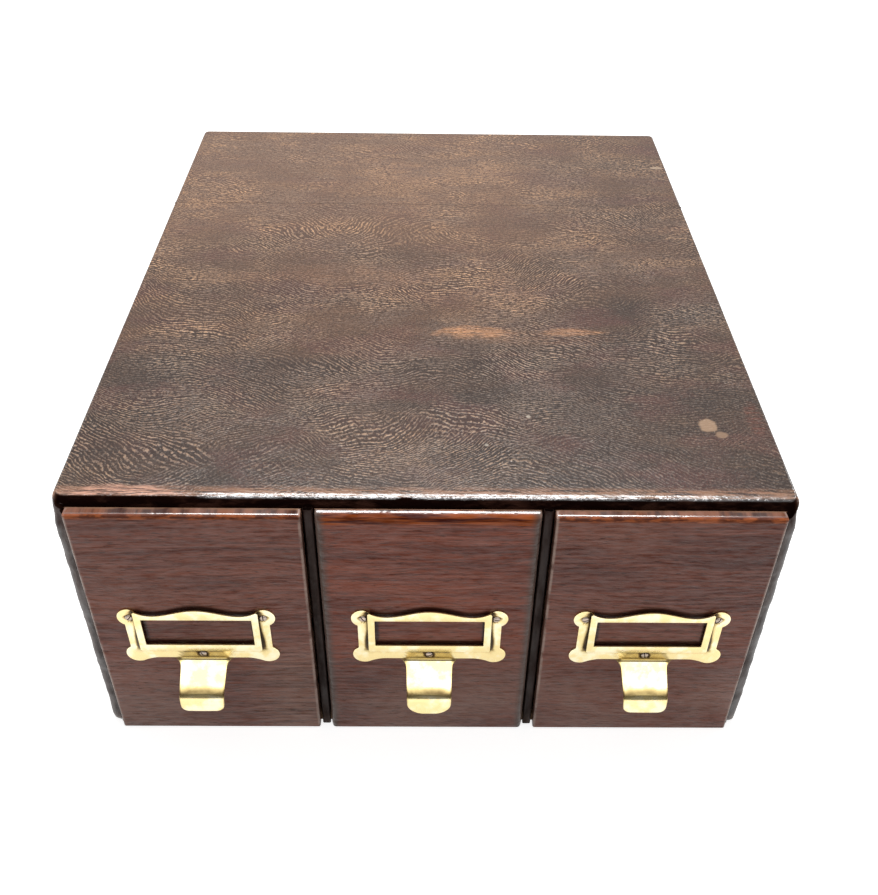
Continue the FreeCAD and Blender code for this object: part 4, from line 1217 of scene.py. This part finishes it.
def screw_shell(radius, dome, slot, angle):
    """A round head: rows of points across a disc, each lifted by the dome and sunk where the slot runs."""
    rows = np.sort(np.concatenate([np.linspace(-1, 1, 29) * radius,
                                   np.array([-1, -0.86, 0.86, 1]) * slot / 2]))
    columns = np.linspace(-1, 1, 29)
    y = np.broadcast_to(rows[:, None], (len(rows), len(columns)))
    x = columns[None] * np.sqrt(np.maximum(radius ** 2 - y ** 2, 0))
    share_out = (x ** 2 + y ** 2) / radius ** 2
    height = dome * np.sqrt(np.maximum(1 - share_out, 0)) ** 0.8
    cut = 1 - ease(np.abs(y), slot * 0.43, slot * 0.5)
    height = np.where(cut > 0, height * (1 - cut) + np.minimum(height, dome * 0.35) * cut, height)
    turn = math.radians(angle)
    across, up = x * math.cos(turn) - y * math.sin(turn), x * math.sin(turn) + y * math.cos(turn)
    top = np.stack([across, -height, up], -1)
    base = np.stack([across, np.full_like(across, 0.4 * MM), up], -1)
    # painted shade in the slot and round the edge of the head
    slot_and_rim_shade = np.clip(cut + ease(share_out, 0.86, 1.0) * 0.9, 0, 1)
    return [Shell(top, around=False, stain=slot_and_rim_shade), Shell(base, around=False, stain=1.0)]


def build_screws():
    """The three slotted screws of each pull."""
    scene = bpy.context.scene
    s = scene.cabinet_pull
    finish = dull_steel(scene.cabinet_finish)
    for i, bay in enumerate(BAYS):
        place = pull_middle(bay)
        shells = []
        for k, (x, z) in enumerate(screw_places(s)):
            seat = place + np.array([x, -s.sheet + SCREW_SINK, z])
            slot_angle = 50 + 40 * k + 75 * i
            head = screw_shell(s.screw_radius, s.screw_dome, s.screw_slot, slot_angle)
            shells += [moved(shell, seat) for shell in head]
        make_piece(bay + "_screws", shells, bay + "_drawer", finish,
                   (bay + "_drawer_pull_screws",), sharp=60)


def build_insides():
    """Finishes of the pieces whose construction shape is right as it is."""
    scene = bpy.context.scene
    colours = scene.cabinet_finish
    bare = tuple(colours.bare)
    dark = blackened_wood("blackened_dividers", colours, IN_SHADE)
    long_wood = plain_wood("bare_wood_lengthwise", bare, "y")
    cross_wood = plain_wood("bare_wood_crosswise", bare, "x")
    panel = plain_wood("panel_wood", tuple(c * 1.12 for c in bare), "y", scale=0.7)
    back = plain_wood("stained_back", (0.075, 0.045, 0.030), "z", 0.5)
    stained = plain_wood("stained_birch", (0.20, 0.095, 0.045), "x", 0.38)
    steel = dull_steel(colours)
    brass = polished_brass(colours)
    black = japanned_steel()
    finishes = {
        "left_divider": dark, "right_divider": dark, "bottom_board": long_wood,
        "back_panel": back, "drawer_stop_blocks": cross_wood,
    }
    for bay in BAYS:
        finishes.update({
            bay + "_drawer_left_board": long_wood, bay + "_drawer_right_board": long_wood,
            bay + "_drawer_back_board": cross_wood, bay + "_drawer_bottom_panel": panel,
            bay + "_drawer_follower_board": stained, bay + "_drawer_follower_bracket": black,
            bay + "_drawer_follower_bolt": steel,
            bay + "_drawer_follower_thumb_nut": brass})
    for node, material in finishes.items():
        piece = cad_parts[node]
        for place in piece.material_slots:
            place.material = material
        if not piece.material_slots:
            piece.data.materials.append(material)


def studio(s):
    """Even light all round; for mirrors, a white room behind, a bright ceiling and a dim room in front.

    The level in a mirror depends on the angle a about the x axis: 0 ahead of the fronts, 90 overhead.
    """
    world = bpy.data.worlds.new("studio")
    world.use_nodes = True
    n = Nodes(world.node_tree)
    _, py, pz = n.axes(n.add("ShaderNodeNewGeometry").outputs["Position"])
    angle = n.math("ARCTAN2", pz, py * -1.0)

    def step(low, high, from_level, to_level):
        return n.span(angle, math.radians(low), math.radians(high), from_level, to_level, "LINEAR")

    mirrored = step(42.0, 56.0, s.room, s.ceiling) + step(84.0, 100.0, 0.0, s.behind - s.ceiling)
    camera_ray, mirror = n.rays()
    level = mirror * mirrored + (1.0 - mirror) * s.sky
    sky = n.node("ShaderNodeBackground", (1.0, 1.0, 1.0, 1.0), n.math("MAXIMUM", level, camera_ray))
    n.feed(n.add("ShaderNodeOutputWorld").inputs["Surface"], sky)
    return world


def build_stage():
    """Pale floor, soft light from above, even light all round, and the camera."""
    scene = bpy.context.scene
    s = scene.cabinet_stage
    half = s.floor_half
    mesh = bpy.data.meshes.new("floor")
    corners = [(-half, -half, 0), (half, -half, 0), (half, half, 0), (-half, half, 0)]
    mesh.from_pydata(corners, [], [(0, 1, 2, 3)])
    floor = bpy.data.objects.new("floor", mesh)
    scene.collection.objects.link(floor)
    f = Finish("floor_white")
    camera_ray, mirror = f.rays()
    level = f.math("MAXIMUM", camera_ray, mirror) * s.floor_glow - camera_ray * s.floor_dim
    diffuse = f.node("ShaderNodeBsdfDiffuse", (0.75, 0.75, 0.745, 1.0))
    glow = f.node("ShaderNodeEmission", (1.0, 1.0, 1.0, 1.0), level)
    f.feed(f.add("ShaderNodeOutputMaterial").inputs["Surface"], f.node("ShaderNodeAddShader", diffuse, glow))
    mesh.materials.append(f.material)

    scene.world = studio(s)

    lamp = bpy.data.lights.new("overhead", "AREA")
    lamp.shape = "RECTANGLE"
    lamp.size, lamp.size_y = s.lamp_width, s.lamp_depth
    lamp.energy = s.lamp_watts
    overhead = bpy.data.objects.new("overhead", lamp)
    overhead.location = s.lamp_place
    aim = Vector(s.lamp_aim) - overhead.location
    overhead.rotation_euler = aim.to_track_quat("-Z", "Y").to_euler()
    scene.collection.objects.link(overhead)

    camera = bpy.data.cameras.new("camera")
    camera.lens = s.focal_length
    camera.sensor_width = 36.0
    camera.clip_start = 0.01
    viewer = bpy.data.objects.new("camera", camera)
    viewer.location = s.camera_place
    viewer.rotation_euler = s.camera_turn
    scene.collection.objects.link(viewer)
    scene.camera = viewer
    scene.view_settings.view_transform = "Standard"


# --- Operators and panel --------------------

class CABINET_OT_top(bpy.types.Operator):
    """Build both boards of the top"""
    bl_idname = "cabinet.top"
    bl_label = "Top"

    def execute(self, context):
        build_top()
        return {"FINISHED"}


class CABINET_OT_sides(bpy.types.Operator):
    """Build the sides"""
    bl_idname = "cabinet.sides"
    bl_label = "Sides"

    def execute(self, context):
        build_sides()
        return {"FINISHED"}


class CABINET_OT_strips(bpy.types.Operator):
    """Build the facing strips"""
    bl_idname = "cabinet.strips"
    bl_label = "Facing strips"

    def execute(self, context):
        build_strips()
        return {"FINISHED"}


class CABINET_OT_fronts(bpy.types.Operator):
    """Build the drawer fronts"""
    bl_idname = "cabinet.fronts"
    bl_label = "Drawer fronts"

    def execute(self, context):
        build_fronts()
        return {"FINISHED"}


class CABINET_OT_pulls(bpy.types.Operator):
    """Build the brass label pulls"""
    bl_idname = "cabinet.pulls"
    bl_label = "Label pulls"

    def execute(self, context):
        build_pulls()
        return {"FINISHED"}


class CABINET_OT_screws(bpy.types.Operator):
    """Build the screws of the pulls"""
    bl_idname = "cabinet.screws"
    bl_label = "Pull screws"

    def execute(self, context):
        build_screws()
        return {"FINISHED"}


class CABINET_OT_insides(bpy.types.Operator):
    """Give the drawer boxes, followers and hidden boards their finishes"""
    bl_idname = "cabinet.insides"
    bl_label = "Insides"

    def execute(self, context):
        build_insides()
        return {"FINISHED"}


class CABINET_OT_stage(bpy.types.Operator):
    """Set the floor, the lights and the camera"""
    bl_idname = "cabinet.stage"
    bl_label = "Stage"

    def execute(self, context):
        build_stage()
        return {"FINISHED"}


OPERATORS = (CABINET_OT_stage, CABINET_OT_top, CABINET_OT_sides, CABINET_OT_strips, CABINET_OT_fronts,
             CABINET_OT_pulls, CABINET_OT_screws, CABINET_OT_insides)
SETTINGS = {"cabinet_carcass": CarcassSettings, "cabinet_front": FrontSettings, "cabinet_pull": PullSettings,
            "cabinet_finish": FinishSettings, "cabinet_stage": StageSettings}


class CABINET_PT_panel(bpy.types.Panel):
    """Lists the steps and their settings"""
    bl_idname = "CABINET_PT_panel"
    bl_label = "Card Cabinet"
    bl_space_type = "VIEW_3D"
    bl_region_type = "UI"
    bl_category = "Card Cabinet"

    def draw(self, context):
        for operator in OPERATORS:
            self.layout.operator(operator.bl_idname)
        for name in SETTINGS:
            group = getattr(context.scene, name)
            box = self.layout.box()
            for key in group.bl_rna.properties.keys():
                if key not in ("rna_type", "name"):
                    box.prop(group, key)


def register():
    for name, group in SETTINGS.items():
        bpy.utils.register_class(group)
        setattr(bpy.types.Scene, name, bpy.props.PointerProperty(type=group))
    for operator in OPERATORS:
        bpy.utils.register_class(operator)
    bpy.utils.register_class(CABINET_PT_panel)


def unregister():
    bpy.utils.unregister_class(CABINET_PT_panel)
    for operator in reversed(OPERATORS):
        bpy.utils.unregister_class(operator)
    for name, group in SETTINGS.items():
        delattr(bpy.types.Scene, name)
        bpy.utils.unregister_class(group)


def main():
    register()
    bpy.ops.cabinet.stage()
    bpy.ops.cabinet.top()
    bpy.ops.cabinet.sides()
    bpy.ops.cabinet.strips()
    bpy.ops.cabinet.fronts()
    bpy.ops.cabinet.pulls()
    bpy.ops.cabinet.screws()
    bpy.ops.cabinet.insides()


if __name__ == "__main__":
    main()
